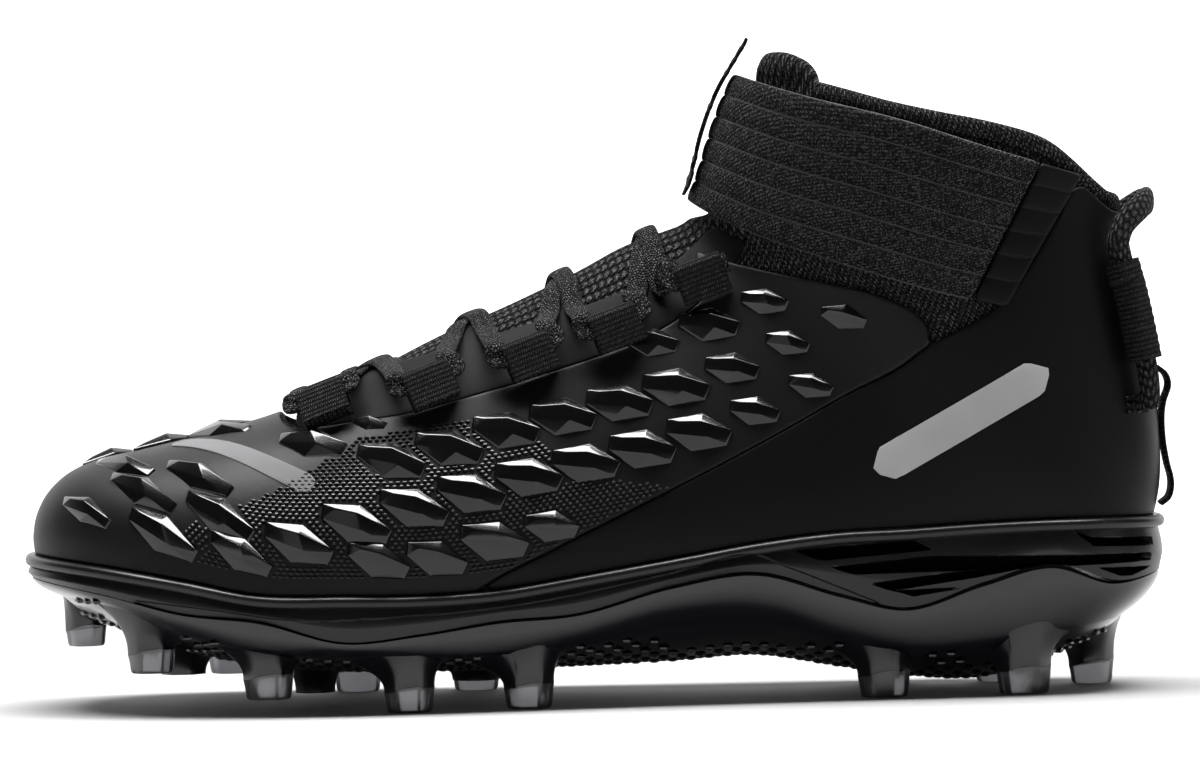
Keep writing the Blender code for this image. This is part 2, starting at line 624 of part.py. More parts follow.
def strap_outline(start, end):
    """The strap's side view between two shares of its length."""
    top, bottom = (np.array(smooth_line(line)) for line in (STRAP_TOP, STRAP_BOTTOM))
    steps = np.linspace(start, end, 8)
    edges = []
    for line in (top, bottom):
        place = np.linspace(0, 1, len(line))
        edges.append([(np.interp(s, place, line[:, 0]), np.interp(s, place, line[:, 1])) for s in steps])
    return edges[0] + edges[1][::-1]


def build_strap():
    """The elastic ankle strap, and the welded tab at each of its ends."""
    rest = GAP + QUARTER_WALL + GAP
    tab_start = 1 - TAB_SHARE
    shell("ankle_strap", "strap", rest, rest + STRAP_WALL, strap_outline(0.0, tab_start - 0.004))
    for name, low, high in (("strap_tab_outer", -0.15, 0.0), ("strap_tab_inner", 0.0, 0.15)):
        tab = new_object(name, form_body(rest + TAB_WALL), "film")
        boolean(tab, "DIFFERENCE", new_object(name + "_inside", form_body(rest), helper=True))
        boolean(tab, "INTERSECT", prism(name + "_outline", strap_outline(tab_start, 1.0), low, high))


def build_keeper():
    """The webbing up the front of the strap."""
    rest = GAP * 3 + QUARTER_WALL + STRAP_WALL
    outline = [(along(0.50), z * FORM_HEIGHT) for z in (0.655, 0.845)] + [(along(0.655), 0.169), (along(0.655), 0.131)]
    keeper = shell("strap_keeper", "webbing", rest, rest + WEBBING, outline[::-1])
    sides = [(along(0.45), 0.10), (along(0.70), 0.10), (along(0.70), 0.20), (along(0.45), 0.20)]
    boolean(keeper, "INTERSECT", prism("keeper_sides", sides, -KEEPER_WIDTH / 2, KEEPER_WIDTH / 2))


def frame_at(x, z, side):
    """Point, outward normal, and the directions along and up the throat's edge at a side-view point."""
    point, normal = form_point(x, z, side)
    ahead = form_point(x + 0.004, z + 0.004 * THROAT_SLOPE, side)[0]
    run = (ahead - point).normalized()
    up = normal.cross(run)
    up = up if up.z > 0 else -up
    return point, normal, run, up.normalized()


def box_between(bm, corner_loops):
    """Adds one closed body through loops of points."""
    rows = [[bm.verts.new(p) for p in loop] for loop in corner_loops]
    count = len(rows[0])
    for a, b in zip(rows, rows[1:]):
        for k in range(count):
            bm.faces.new((a[k], a[(k + 1) % count], b[(k + 1) % count], b[k]))
    bm.faces.new(rows[0])
    bm.faces.new(rows[-1])


def build_loop(name, share_x, share_z, side):
    """One webbing loop: a folded strip with a slot for the lace, standing on the throat's edge."""
    point, normal, run, up = frame_at(along(share_x), share_z * FORM_HEIGHT, side)
    lift = (up * math.cos(LOOP_LEAN) + normal * math.sin(LOOP_LEAN)).normalized()
    out = (normal * math.cos(LOOP_LEAN) - up * math.sin(LOOP_LEAN)).normalized()
    thick = LACE_THICKNESS + 2.6 * WEBBING
    slot = LACE_THICKNESS + 0.6 * WEBBING
    base = point + out * (GAP * 2 + SKIN_WALL + 0.0002)

    def ring(inset, foot, offset):
        """The hairpin's corners at one end of the loop."""
        high, near, far = LOOP_REACH - inset, inset, thick - inset
        corners = ((near, foot), (near, high - 0.0012), (near + 0.0012, high), (far - 0.0012, high), (far, high - 0.0012), (far, foot))
        return [base + out * a + lift * b + run * offset for a, b in corners]

    bm = bmesh.new()
    box_between(bm, [ring(0.0, 0.0, -LOOP_WIDTH / 2), ring(0.0, 0.0, LOOP_WIDTH / 2)])
    bmesh.ops.recalc_face_normals(bm, faces=bm.faces[:])
    loop = new_object(name, bm, "webbing")
    bm = bmesh.new()
    box_between(bm, [ring(WEBBING, WEBBING, -LOOP_WIDTH), ring(WEBBING, WEBBING, LOOP_WIDTH)])
    bmesh.ops.recalc_face_normals(bm, faces=bm.faces[:])
    boolean(loop, "DIFFERENCE", new_object(name + "_slot", bm, helper=True))
    centre = base + out * thick / 2 + lift * (LOOP_REACH - WEBBING - LACE_WIDTH * 0.4 - 2 * GAP)
    return centre, run, out, lift


STUD_SECTION = ((-0.5, 0.0), (-0.22, 0.5), (0.22, 0.5), (0.5, 0.0), (0.22, -0.5), (-0.22, -0.5))
FLAT_SECTION = ((-0.5, 0.0), (-0.3, 0.5), (0.3, 0.5), (0.5, 0.0), (0.3, -0.5), (-0.3, -0.5))
LACE_SECTION = ((-0.5, 0.35), (0.5, 0.35), (0.5, -0.35), (-0.5, -0.35))


def strip(points, normals, width, thickness, section=FLAT_SECTION):
    """A closed strip through points, each with its own normal, of a section in shares of its two sizes."""
    bm = bmesh.new()
    loops = []
    for i, (point, normal) in enumerate(zip(points, normals)):
        run = (points[min(i + 1, len(points) - 1)] - points[max(i - 1, 0)]).normalized()
        across = run.cross(normal).normalized()
        rise = across.cross(run).normalized()
        loops.append([point + across * a * width + rise * b * thickness for a, b in section])
    box_between(bm, loops)
    bmesh.ops.recalc_face_normals(bm, faces=bm.faces[:])
    return bm


def throat_top(share, x, clear):
    """A point and normal over the tongue at x, a share of the way from the outer loops to the inner."""
    angle = (0.5 - share) * 2 * THROAT_ANGLE
    direction = Vector((0, -math.sin(angle), math.cos(angle)))
    hit = FORM.ray_cast(Vector((x, 0, sole_height(x, "bite") + 0.030)), direction)
    normal = hit[1] if hit[1].dot(direction) > 0 else -hit[1]
    return hit[0] + normal * clear, normal


def lace_end(port, way):
    """The points and normals where a lace comes out of one end of a loop and turns over the tongue."""
    centre, run, out, lift = port
    edge = centre + run * way * (LOOP_WIDTH / 2 + GAP)
    inward = (lift - out * 0.5).normalized()
    points = [edge, edge + run * way * 0.0030, edge + run * way * 0.0055 + inward * 0.0035]
    return points, [out, (out * 2 + lift).normalized(), (out + lift).normalized()]


def lace_run(start, end, leave, arrive, clear=LACE_LIFT):
    """One lace from an end of one loop over the tongue to an end of another."""
    points, normals = lace_end(start, leave)
    last_points, last_normals = lace_end(end, arrive)
    a, b = points[-1], last_points[-1]
    for t in (0.34, 0.5, 0.66):
        point, normal = throat_top(t if a.y < b.y else 1 - t, a.x + (b.x - a.x) * t, clear)
        points.append(point)
        normals.append(normal)
    return strip(points + last_points[::-1], normals + last_normals[::-1], LACE_WIDTH, LACE_THICKNESS, LACE_SECTION)


def build_laces(ports):
    """The front bar and the four crossings, joined into one body that runs through every loop."""
    runs = [lace_run(ports[-1][0], ports[1][0], -1, -1, 2 * LACE_LIFT)]
    for row in range(len(LOOPS) - 1):
        runs += [lace_run(ports[side][row], ports[-side][row + 1], 1, -1) for side in (-1, 1)]
    for centre, run, out, lift in ports[-1] + ports[1]:
        half = LOOP_WIDTH / 2 + 4 * GAP
        ends = [centre - run * half, centre + run * half]
        runs.append(strip(ends, [out, out], LACE_WIDTH * 0.8, LACE_THICKNESS * 0.8, LACE_SECTION))
    body = new_object("laces", runs[0], "lace")
    for i, run in enumerate(runs[1:]):
        boolean(body, "UNION", new_object("lace_part_%d" % i, run, helper=True))


def build_insole():
    """The insole on the midsole's bed, inside the upper's wall."""
    inset = -UPPER_WALL - 0.0014
    rings = [
        sole_ring(inset - 0.0004, height_of("bite", INSOLE_THICKNESS)),
        sole_ring(inset, height_of("bite", INSOLE_THICKNESS - 0.0010)),
        sole_ring(inset, height_of("bite", GAP * 0)),
    ]
    new_object("insole", sole_body(rings), "insole")


def build_midsole():
    """The foam carrier between upper and plate, with its lip and the louvres at the heel."""
    midsole = new_object("midsole", sole_body(midsole_rings()), "midsole")
    core = new_object("midsole_core", sole_body(midsole_rings(LOUVRE_DEPTH)), helper=True)
    crease = smooth_line([(x, z * SOLE_HEIGHT / FORM_HEIGHT) for x, z in STEP_CREASE], 2)
    low = [(x, -0.01) for x in (crease[-1][0], crease[0][0])]
    step = prism("side_step", crease + low)
    rings = midsole_rings(STEP_DEPTH) + [sole_ring(SIDE_REACH - STEP_DEPTH - 0.0006, height_of("parting", -0.003))]
    boolean(step, "DIFFERENCE", new_object("step_core", sole_body(rings), helper=True))
    boolean(midsole, "DIFFERENCE", step)
    for i, outline in enumerate(LOUVRES):
        groove = prism("louvre_%d" % i, [(along(x), z * SOLE_HEIGHT) for x, z in outline])
        boolean(groove, "DIFFERENCE", core)
        boolean(midsole, "DIFFERENCE", groove)


def build_plate():
    """The outsole plate: its edge, keeled underside, pads and the stud bases."""
    rings = [
        sole_ring(SIDE_REACH - 0.0012, height_of("parting", -GAP)),
        sole_ring(SIDE_REACH - 0.0006, height_of("parting", -GAP - 0.0010)),
        sole_ring(lambda x: SIDE_REACH - 0.40 * sole_height(x, "tuck"), blend("parting", "edge", 0.62)),
        sole_ring(lambda x: SIDE_REACH - sole_height(x, "tuck"), height_of("edge")),
        sole_ring(lambda x: SIDE_REACH - sole_height(x, "tuck"), blend("edge", "belly", 0.42), 0.80),
        sole_ring(lambda x: SIDE_REACH - sole_height(x, "tuck"), blend("edge", "belly", 0.82), 0.52),
        sole_ring(lambda x: SIDE_REACH - sole_height(x, "tuck"), blend("edge", "belly", 1.0), 0.26),
    ]
    bm = sole_body(rings)
    underside = BVHTree.FromBMesh(bm)
    plate = new_object("outsole_plate", bm, "plate")
    for i, place in enumerate(ARCH_RIBS):
        boolean(plate, "UNION", new_object("rib_%d" % i, arch_rib(place * FORM_WIDTH / 2, underside), helper=True))
    for stud in [dict(zip(STUD_COLUMNS, row)) for row in STUDS + PADS]:
        x, y, tip = along(stud["x"]), stud["y"] * FORM_WIDTH / 2, stud["tip"] * SOLE_HEIGHT
        root = underside.ray_cast(Vector((x, y, -0.02)), Vector((0, 0, 1)))[0].z + 0.0016
        joint = tip + STUD_TIP_HEIGHT * stud["size"]
        is_pad = stud["name"].startswith("pad")
        if is_pad:
            joint = tip
        base = stud_body(stud, (x, y), ((joint, 1.16), ((joint + root) / 2, 1.32), (root, 2.05)), root - joint)
        boolean(plate, "UNION", new_object(stud["name"] + "_base", base, helper=True))
        if not is_pad:
            tip_body = stud_body(stud, (x, y), ((tip, 1.0), (tip + 0.0008, 1.06), (joint - GAP, 1.16)), 0.0)
            new_object("stud_" + stud["name"], tip_body, "tip")


def arch_rib(y, underside):
    """A rib along the arch at y, following the plate's underside."""
    loops = []
    for share in np.linspace(*RIB_SPAN, 7):
        x = along(share)
        z = underside.ray_cast(Vector((x, y, -0.02)), Vector((0, 0, 1)))[0].z
        ends = share in RIB_SPAN
        low = z + 0.0004 if ends else z - RIB_HEIGHT
        wide, narrow = RIB_WIDTH / 2, RIB_WIDTH * 0.3
        loops.append([(x, y - wide, z + 0.0012), (x, y + wide, z + 0.0012), (x, y + narrow, low), (x, y - narrow, low)])
    bm = bmesh.new()
    box_between(bm, loops)
    bmesh.ops.recalc_face_normals(bm, faces=bm.faces[:])
    return bm


def stud_body(stud, place, levels, rise):
    """A stud or its base: hexagons growing upwards, the upper ones leaning by the stud's sweep."""
    bm = bmesh.new()
    loops = []
    first = levels[0][0]
    for z, scale in levels:
        grow = scale * stud["size"]
        share = (z - first) / rise if rise else 0.0
        lean = stud["sweep"] * STUD_TIP_LENGTH * 0.35 * share**1.6
        loops.append(
            [
                (place[0] + lean + a * STUD_TIP_LENGTH * grow, place[1] * (1 - 0.04 * share) + b * STUD_TIP_WIDTH * grow, z)
                for a, b in STUD_SECTION
            ]
        )
    box_between(bm, loops)
    bmesh.ops.recalc_face_normals(bm, faces=bm.faces[:])
    return bm


def heel_point(y, z, lift):
    """A point over the back of the quarter, and its outward direction in plan."""
    hit = FORM.ray_cast(Vector((0.3, y, min(z, HEEL_TOP * FORM_HEIGHT))), Vector((-1, 0, 0)))
    normal = Vector((hit[1].x, hit[1].y, 0)).normalized()
    normal = normal if normal.x > 0 else -normal
    point = hit[0] + normal * (GAP + QUARTER_WALL + lift)
    return Vector((point.x, point.y, z)), normal


def build_rope():
    """The pull rope over the heel, and its two webbing sleeves."""
    foot = SLEEVE_FOOT * FORM_HEIGHT
    rows = [(y * FORM_WIDTH / 2, foot + share * SLEEVE_HEIGHT + rise, lift) for y, share, rise, lift in ROPE_ROUTE]
    half = [tuple(p) for p in spline(rows, 2)]
    route = half + [(-y, z, lift) for y, z, lift in half[-2::-1]]
    places = [heel_point(*p) for p in route]
    new_object("heel_pull_rope", strip([p for p, n in places], [n for p, n in places], ROPE_WIDTH, ROPE_THICKNESS), "rope")
    for name, side in (("sleeve_outer", -1), ("sleeve_inner", 1)):
        y, lift = side * SLEEVE_PLACE * FORM_WIDTH / 2, ROPE_ROUTE[1][3]
        leg = [heel_point(y, foot + SLEEVE_HEIGHT * share, lift) for share in (0.0, 0.5, 1.0)]
        long_leg = [heel_point(y, foot + SLEEVE_HEIGHT * share, lift) for share in (-0.1, 0.5, 1.1)]
        extra = 2 * (WEBBING + GAP)
        outer = strip(*zip(*leg), ROPE_WIDTH + extra, ROPE_THICKNESS + extra)
        sleeve = new_object(name, outer, "webbing")
        inner = strip(*zip(*long_leg), ROPE_WIDTH + 3 * GAP, ROPE_THICKNESS + 3 * GAP)
        boolean(sleeve, "DIFFERENCE", new_object(name + "_bore", inner, helper=True))


def build_tape():
    """The ribbon down the back seam."""
    places = [heel_point(0.0, z, GAP + TAPE_THICKNESS / 2 + stand) for z, stand in spline(TAPE_ROUTE, 2)]
    new_object("heel_tape", strip(*zip(*places), TAPE_WIDTH, TAPE_THICKNESS), "webbing")


def material(name, colour, roughness, metallic=0.0):
    """A Principled material."""
    made = bpy.data.materials.new(name)
    made.use_nodes = True
    shader = made.node_tree.nodes["Principled BSDF"]
    shader.inputs["Base Color"].default_value = (*colour, 1.0)
    shader.inputs["Roughness"].default_value = roughness
    shader.inputs["Metallic"].default_value = metallic
    made.diffuse_color = (*colour, 1.0)
    return made


def collection(name):
    """A collection in the scene."""
    made = bpy.data.collections.new(name)
    bpy.context.scene.collection.children.link(made)
    return made


for old in list(bpy.data.objects):
    bpy.data.objects.remove(old, do_unlink=True)

PIECES = collection("american_football_cleat")
CUTTERS = collection("cutters")
CUTTERS.hide_render = True
FRAME = bpy.data.objects.new("cleat_frame", None)
PIECES.objects.link(FRAME)
MATERIALS = {
    "knit": material("black knit", (0.012, 0.012, 0.013), 0.85),
    "film": material("black moulded film", (0.010, 0.010, 0.011), 0.38),
    "quarter": material("black satin shell", (0.011, 0.011, 0.012), 0.45),
    "strap": material("black elastic", (0.014, 0.014, 0.015), 0.80),
    "webbing": material("black webbing", (0.014, 0.014, 0.015), 0.70),
    "lace": material("black lace", (0.013, 0.013, 0.014), 0.78),
    "rope": material("black rope", (0.018, 0.018, 0.019), 0.60),
    "insole": material("black insole", (0.015, 0.015, 0.015), 0.90),
    "midsole": material("black foam", (0.016, 0.016, 0.017), 0.42),
    "plate": material("black plate", (0.014, 0.014, 0.018), 0.25),
    "tip": material("smoke stud tip", (0.060, 0.060, 0.075), 0.12),
}

bm = form_body(0.0)
FORM = BVHTree.FromBMesh(bm)
bm.free()
OUTLINE = plan_outline()

build_upper()
build_binding()
build_skin()
build_quarter()
build_tongue()
build_strap()
build_keeper()
PORTS = {-1: [], 1: []}
for side, word in ((-1, "outer"), (1, "inner")):
    for i, (share_x, share_z) in enumerate(LOOPS):
        PORTS[side].append(build_loop("lace_loop_%s_%d" % (word, i + 1), share_x, share_z, side))
build_laces(PORTS)
build_insole()
build_midsole()
build_plate()
build_rope()
build_tape()
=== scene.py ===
"""The looks of a left american football cleat: its finishes, woven parts, lugs, studs, light and camera.

Metres, +Z up, toe towards -X, outer side of the foot towards -Y. The last form's tables are the same as the
CAD part's, read here through a fine curve, so that each dressed piece lies where its solid lies.
"""
from __future__ import annotations

import logging
import math
from dataclasses import dataclass, field
from enum import Enum
from typing import Callable, ClassVar, Sequence

import bmesh
import bpy
import numpy as np
from bpy.types import Material, NodeSocket, Object
from mathutils import Euler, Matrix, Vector
from mathutils.bvhtree import BVHTree

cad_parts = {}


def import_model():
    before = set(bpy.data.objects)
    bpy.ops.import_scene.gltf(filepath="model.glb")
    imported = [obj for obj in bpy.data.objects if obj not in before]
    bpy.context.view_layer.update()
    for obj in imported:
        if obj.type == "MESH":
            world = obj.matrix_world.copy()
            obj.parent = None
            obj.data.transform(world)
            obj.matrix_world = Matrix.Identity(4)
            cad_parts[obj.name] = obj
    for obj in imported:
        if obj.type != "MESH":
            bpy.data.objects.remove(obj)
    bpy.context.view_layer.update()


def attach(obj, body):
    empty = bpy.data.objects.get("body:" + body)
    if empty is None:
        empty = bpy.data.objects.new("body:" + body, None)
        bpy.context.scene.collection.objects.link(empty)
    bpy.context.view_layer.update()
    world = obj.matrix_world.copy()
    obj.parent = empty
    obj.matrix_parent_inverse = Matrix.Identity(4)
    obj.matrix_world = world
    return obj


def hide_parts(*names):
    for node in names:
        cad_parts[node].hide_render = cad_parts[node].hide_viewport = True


LOG = logging.getLogger("cleat")
Number = float
Pair = tuple[int, int]
Point2 = tuple[float, float]
Point3 = tuple[float, float, float]
Port = tuple[Vector, Vector, Vector, Vector]
Route = tuple[list[Vector], list[Vector]]
Measure = Callable[[np.ndarray], np.ndarray]
Size = Callable[[float], Point2]

# Driving sizes, as in the CAD part
SHOE_LENGTH = 0.298
FORM_WIDTH = 0.094
FORM_HEIGHT = 0.200
SOLE_HEIGHT = 0.0458
TOE_OFFSET = 0.0065
GAP = 0.0003
UPPER_WALL = 0.0024
SKIN_WALL = 0.0013
QUARTER_WALL = 0.0011
TONGUE_WALL = 0.0040
STRAP_WALL = 0.0019
TAB_WALL = 0.0014
BINDING_HEIGHT = 0.0055
LIP_HEIGHT = 0.0030
LIP_REACH = 0.0042
SIDE_REACH = 0.0030
WEBBING = 0.0010
LACE_WIDTH = 0.0052
LACE_THICKNESS = 0.0022
KEEPER_WIDTH = 0.0140
STUD_TIP_LENGTH = 0.0120
STUD_TIP_WIDTH = 0.0086
STUD_TIP_HEIGHT = 0.0062
JOINT_WAVE = 0.0011
TAPE_WIDTH = 0.0100
TAPE_THICKNESS = 0.0012

# Where rays start that look for the form from outside it
OUTSIDE = 0.3
BELOW = -0.02

# Sections of the last form, from the toe to the top of the shaft: x as a share of SHOE_LENGTH from the toe,
# z of FORM_HEIGHT, half of half FORM_WIDTH, mid of TOE_OFFSET, widest of the way down, and two powers
SECTION_COLUMNS = (
    "top_x", "top_z", "bottom_x", "bottom_z", "half", "mid", "widest", "round_top", "round_bottom",
)
SECTIONS = (
    (0.0081, 0.230, 0.0081, 0.217, 0.034, 1.00, 0.50, 2.00, 2.0),
    (0.0121, 0.255, 0.0121, 0.193, 0.223, 1.00, 0.50, 2.00, 2.2),
    (0.0221, 0.281, 0.0221, 0.172, 0.394, 1.00, 0.52, 2.10, 2.4),
    (0.0403, 0.304, 0.0403, 0.152, 0.570, 0.95, 0.56, 2.20, 2.6),
    (0.0678, 0.320, 0.0678, 0.135, 0.728, 0.80, 0.60, 2.30, 2.8),
    (0.1107, 0.333, 0.1107, 0.120, 0.864, 0.50, 0.64, 2.30, 2.9),
    (0.1745, 0.355, 0.1745, 0.104, 0.962, 0.12, 0.68, 2.20, 3.0),
    (0.2383, 0.384, 0.2383, 0.093, 1.000, -0.20, 0.70, 2.00, 3.0),
    (0.3037, 0.431, 0.3037, 0.090, 0.996, -0.40, 0.71, 1.85, 3.0),
    (0.3674, 0.478, 0.3691, 0.090, 0.962, -0.42, 0.72, 1.70, 3.0),
    (0.4312, 0.518, 0.4430, 0.095, 0.906, -0.30, 0.74, 1.62, 3.0),
    (0.4883, 0.557, 0.5302, 0.113, 0.847, -0.10, 0.75, 1.60, 3.0),
    (0.5285, 0.588, 0.6409, 0.133, 0.796, 0.05, 0.75, 1.60, 3.0),
    (0.5604, 0.605, 0.7685, 0.142, 0.766, 0.10, 0.74, 1.65, 3.0),
    (0.5839, 0.618, 0.8826, 0.142, 0.749, 0.06, 0.68, 1.70, 2.9),
    (0.5960, 0.636, 0.9631, 0.165, 0.740, 0.00, 0.62, 1.80, 2.7),
    (0.6040, 0.662, 0.9919, 0.250, 0.728, 0.00, 0.57, 1.90, 2.4),
    (0.6117, 0.693, 0.9933, 0.365, 0.711, 0.00, 0.54, 2.00, 2.3),
    (0.6201, 0.732, 0.9852, 0.475, 0.694, 0.00, 0.52, 2.00, 2.2),
    (0.6329, 0.780, 0.9711, 0.585, 0.685, 0.00, 0.50, 2.00, 2.1),
    (0.6510, 0.830, 0.9604, 0.685, 0.689, 0.00, 0.50, 2.00, 2.1),
    (0.6711, 0.890, 0.9614, 0.790, 0.702, 0.00, 0.50, 2.00, 2.1),
    (0.6946, 1.000, 0.9681, 0.925, 0.723, 0.00, 0.50, 2.00, 2.1),
)

# Side view of the sole: x as a share of SHOE_LENGTH from the toe, then heights and the edge's tuck as
# shares of SOLE_HEIGHT
SOLE_COLUMNS = ("x", "bite", "parting", "edge", "belly", "tuck")
SOLE_PROFILE = (
    (0.000, 0.905, 0.775, 0.660, 0.640, 0.195),
    (0.040, 0.880, 0.735, 0.640, 0.560, 0.175),
    (0.077, 0.850, 0.690, 0.600, 0.470, 0.150),
    (0.141, 0.780, 0.590, 0.470, 0.330, 0.110),
    (0.211, 0.690, 0.540, 0.370, 0.250, 0.090),
    (0.282, 0.677, 0.415, 0.332, 0.210, 0.080),
    (0.349, 0.670, 0.450, 0.322, 0.200, 0.080),
    (0.416, 0.690, 0.512, 0.320, 0.200, 0.100),
    (0.483, 0.751, 0.540, 0.355, 0.205, 0.130),
    (0.567, 0.834, 0.680, 0.462, 0.218, 0.160),
    (0.641, 0.910, 0.740, 0.485, 0.240, 0.160),
    (0.711, 0.958, 0.608, 0.358, 0.165, 0.140),
    (0.768, 0.970, 0.522, 0.290, 0.107, 0.120),
    (0.836, 0.991, 0.655, 0.320, 0.085, 0.130),
    (0.896, 1.000, 0.748, 0.370, 0.190, 0.160),
    (0.950, 0.996, 0.635, 0.410, 0.330, 0.200),
    (1.000, 0.985, 0.690, 0.440, 0.420, 0.230),
)

# Studs, and low pads between them: the tip's centre as shares of SHOE_LENGTH and of half FORM_WIDTH, its
# height as a share of SOLE_HEIGHT, a scale, and how far the root leans forwards (-1) or backwards (+1)
STUD_COLUMNS = ("name", "x", "y", "tip", "size", "sweep")
STUDS = (
    ("outer_1", 0.112, -0.56, 0.232, 0.95, -1.0),
    ("outer_2", 0.215, -0.79, 0.085, 1.00, -1.0),
    ("outer_3", 0.337, -0.87, 0.000, 1.00, -0.8),
    ("outer_4", 0.440, -0.76, 0.000, 1.00, -0.8),
    ("inner_1", 0.043, 0.50, 0.325, 0.85, -0.4),
    ("inner_2", 0.170, 0.82, 0.125, 1.00, -1.0),
    ("inner_3", 0.283, 0.86, 0.000, 1.00, -0.8),
    ("inner_4", 0.390, 0.76, 0.000, 1.00, -0.8),
    ("heel_outer_front", 0.749, -0.52, 0.000, 1.05, -1.0),
    ("heel_outer_rear", 0.871, -0.50, 0.000, 1.10, 0.8),
    ("heel_inner_front", 0.757, 0.52, 0.000, 1.05, -1.0),
    ("heel_inner_rear", 0.858, 0.52, 0.000, 1.00, 0.6),
    ("heel_back", 0.938, 0.22, 0.000, 0.92, 0.8),
)
PADS = (
    ("pad_front", 0.135, -0.10, 0.190, 0.90, -0.5),
    ("pad_middle", 0.250, 0.00, 0.060, 0.80, 0.0),
    ("pad_rear", 0.392, 0.02, 0.110, 0.95, 0.0),
)

# Side-view lines of the upper: x as a share of SHOE_LENGTH from the toe, z as a share of FORM_HEIGHT
THROAT_LINE = (
    (0.2215, 0.420), (0.2315, 0.375), (0.2584, 0.370), (0.2987, 0.378), (0.3456, 0.388),
    (0.3893, 0.405), (0.4329, 0.422), (0.4732, 0.440), (0.5067, 0.455), (0.5470, 0.477),
    (0.5906, 0.515), (0.6275, 0.570), (0.6544, 0.650), (0.6779, 0.730),
)
COLLAR_LINE = (
    (0.6987, 0.802), (0.7208, 0.792), (0.7621, 0.773), (0.8037, 0.758), (0.8450, 0.745),
    (0.8862, 0.728), (0.9067, 0.713), (0.9272, 0.688), (0.9477, 0.660), (0.9631, 0.648),
    (1.0201, 0.637),
)
QUARTER_FRONT = (
    (0.3893, 0.100), (0.4000, 0.157), (0.4611, 0.204), (0.5218, 0.246), (0.5913, 0.294),
    (0.6436, 0.332), (0.6785, 0.359), (0.7218, 0.394), (0.7654, 0.426), (0.7960, 0.458),
    (0.8540, 0.506), (0.8960, 0.590), (0.9205, 0.654),
)
SKIN_REAR = (
    (0.7919, 0.460), (0.7926, 0.475), (0.7859, 0.493), (0.7685, 0.510), (0.7336, 0.530),
    (0.6819, 0.547), (0.6262, 0.566), (0.5940, 0.580),
)
TONGUE_TOP = (
    (0.5604, 0.900), (0.6342, 0.845), (0.6594, 0.847), (0.6779, 0.840), (0.6913, 0.818), (0.6956, 0.785),
    (0.6966, 0.730),
)
STRAP_TOP = (
    (0.5604, 0.855), (0.6349, 0.810), (0.6899, 0.782), (0.7718, 0.749), (0.8490, 0.709),
    (0.9258, 0.671),
)
STRAP_BOTTOM = (
    (0.5604, 0.669), (0.5940, 0.645), (0.6483, 0.604), (0.7168, 0.566), (0.7940, 0.527),
    (0.8591, 0.502),
)
LOOPS = (
    (0.2752, 0.368), (0.3658, 0.390), (0.4513, 0.425), (0.5268, 0.460), (0.6040, 0.522),
)

# Pull rope down the outer side of the heel, mirrored to the inner: y as a share of half FORM_WIDTH, a share
# of the sleeve's height from its foot, the height above that place, and the gap to the quarter
SLEEVE_FOOT = 0.430
SLEEVE_PLACE = 0.390
HEEL_TOP = 0.6075
SLEEVE_LIFT = 0.0042
ROPE_ROUTE = (
    (-0.380, 0.0, -0.0125, 0.0030),
    (-SLEEVE_PLACE, 0.0, -0.0030, SLEEVE_LIFT),
    (-SLEEVE_PLACE, 1.0, 0.0005, SLEEVE_LIFT),
    (-0.376, 1.0, 0.0065, 0.0046),
    (-0.302, 1.0, 0.0115, 0.0052),
    (-0.158, 1.0, 0.0148, 0.0056),
    (0.0, 1.0, 0.0157, 0.0058),
)

# Heel tape from top to bottom: z, and how far it stands off the quarter
TAPE_ROUTE = (
    (0.0835, 0.0000), (0.0815, 0.0020), (0.0785, 0.0024), (0.0745, 0.0008), (0.0700, 0.0000),
    (0.0640, 0.0000), (0.0585, 0.0008), (0.0535, 0.0022), (0.0495, 0.0022), (0.0475, 0.0004),
)

# Louvres in the midsole's heel: x as a share of SHOE_LENGTH, z as a share of SOLE_HEIGHT
LOUVRES = (
    ((0.6724, 0.855), (0.6952, 0.798), (0.7903, 0.844), (0.7747, 0.898)),
    ((0.7037, 0.757), (0.7237, 0.716), (0.9848, 0.738), (0.9858, 0.779), (0.7917, 0.806)),
    ((0.7379, 0.660), (0.7542, 0.620), (0.8315, 0.684), (0.8850, 0.743), (0.8721, 0.757)),
    ((0.7593, 0.614), (0.7742, 0.585), (0.8227, 0.629)),
    ((0.9144, 0.925), (0.9328, 0.838), (0.9874, 0.820), (0.9870, 0.867), (0.9329, 0.884)),
    ((0.9377, 0.710), (0.9560, 0.662), (0.9672, 0.660), (0.9848, 0.700)),
)
TAB_SHARE = 0.090

# Lugs: the row that the others follow, as x and climb, and their size along the shoe. Then one lug's foot,
# walls and crest as shares of its three sizes, and its facets. Last, the bare band over the toe.
LUG_START = 0.5732
LUG_ROW = (
    (0.0450, -0.055), (0.0755, -0.020), (0.1336, 0.0325), (0.1829, 0.075), (0.2299, 0.110), (0.2758, 0.135),
    (0.3292, 0.160), (0.3728, 0.170), (0.4245, 0.185), (0.5218, 0.190), (0.5732, 0.195), (0.6252, 0.205),
    (0.6671, 0.2225), (0.7350, 0.255),
)
LUG_FADE = ((0.060, 0.72), (0.105, 1.0), (0.585, 1.0), (0.630, 0.78), (0.670, 0.66))
LUG_HEXAGON = ((-0.46, 0.44), (0.07, 0.41), (0.50, -0.17), (0.40, -0.47), (-0.12, -0.43), (-0.49, 0.11))
LUG_WALLS = (0.30, 0.34, 0.30, 0.16, 0.14, 0.26)
LUG_CREST = ((-0.28, 0.27, 0.60), (0.02, 0.16, 1.00), (0.09, -0.20, 0.78))
LUG_FACETS = (
    (6, 7, 13, 12), (7, 8, 13), (8, 9, 14, 13), (9, 10, 14), (10, 11, 14), (11, 12, 13, 14), (11, 6, 12),
)
TOE_BAND = ((0.135, 0.235), (0.262, 0.120))
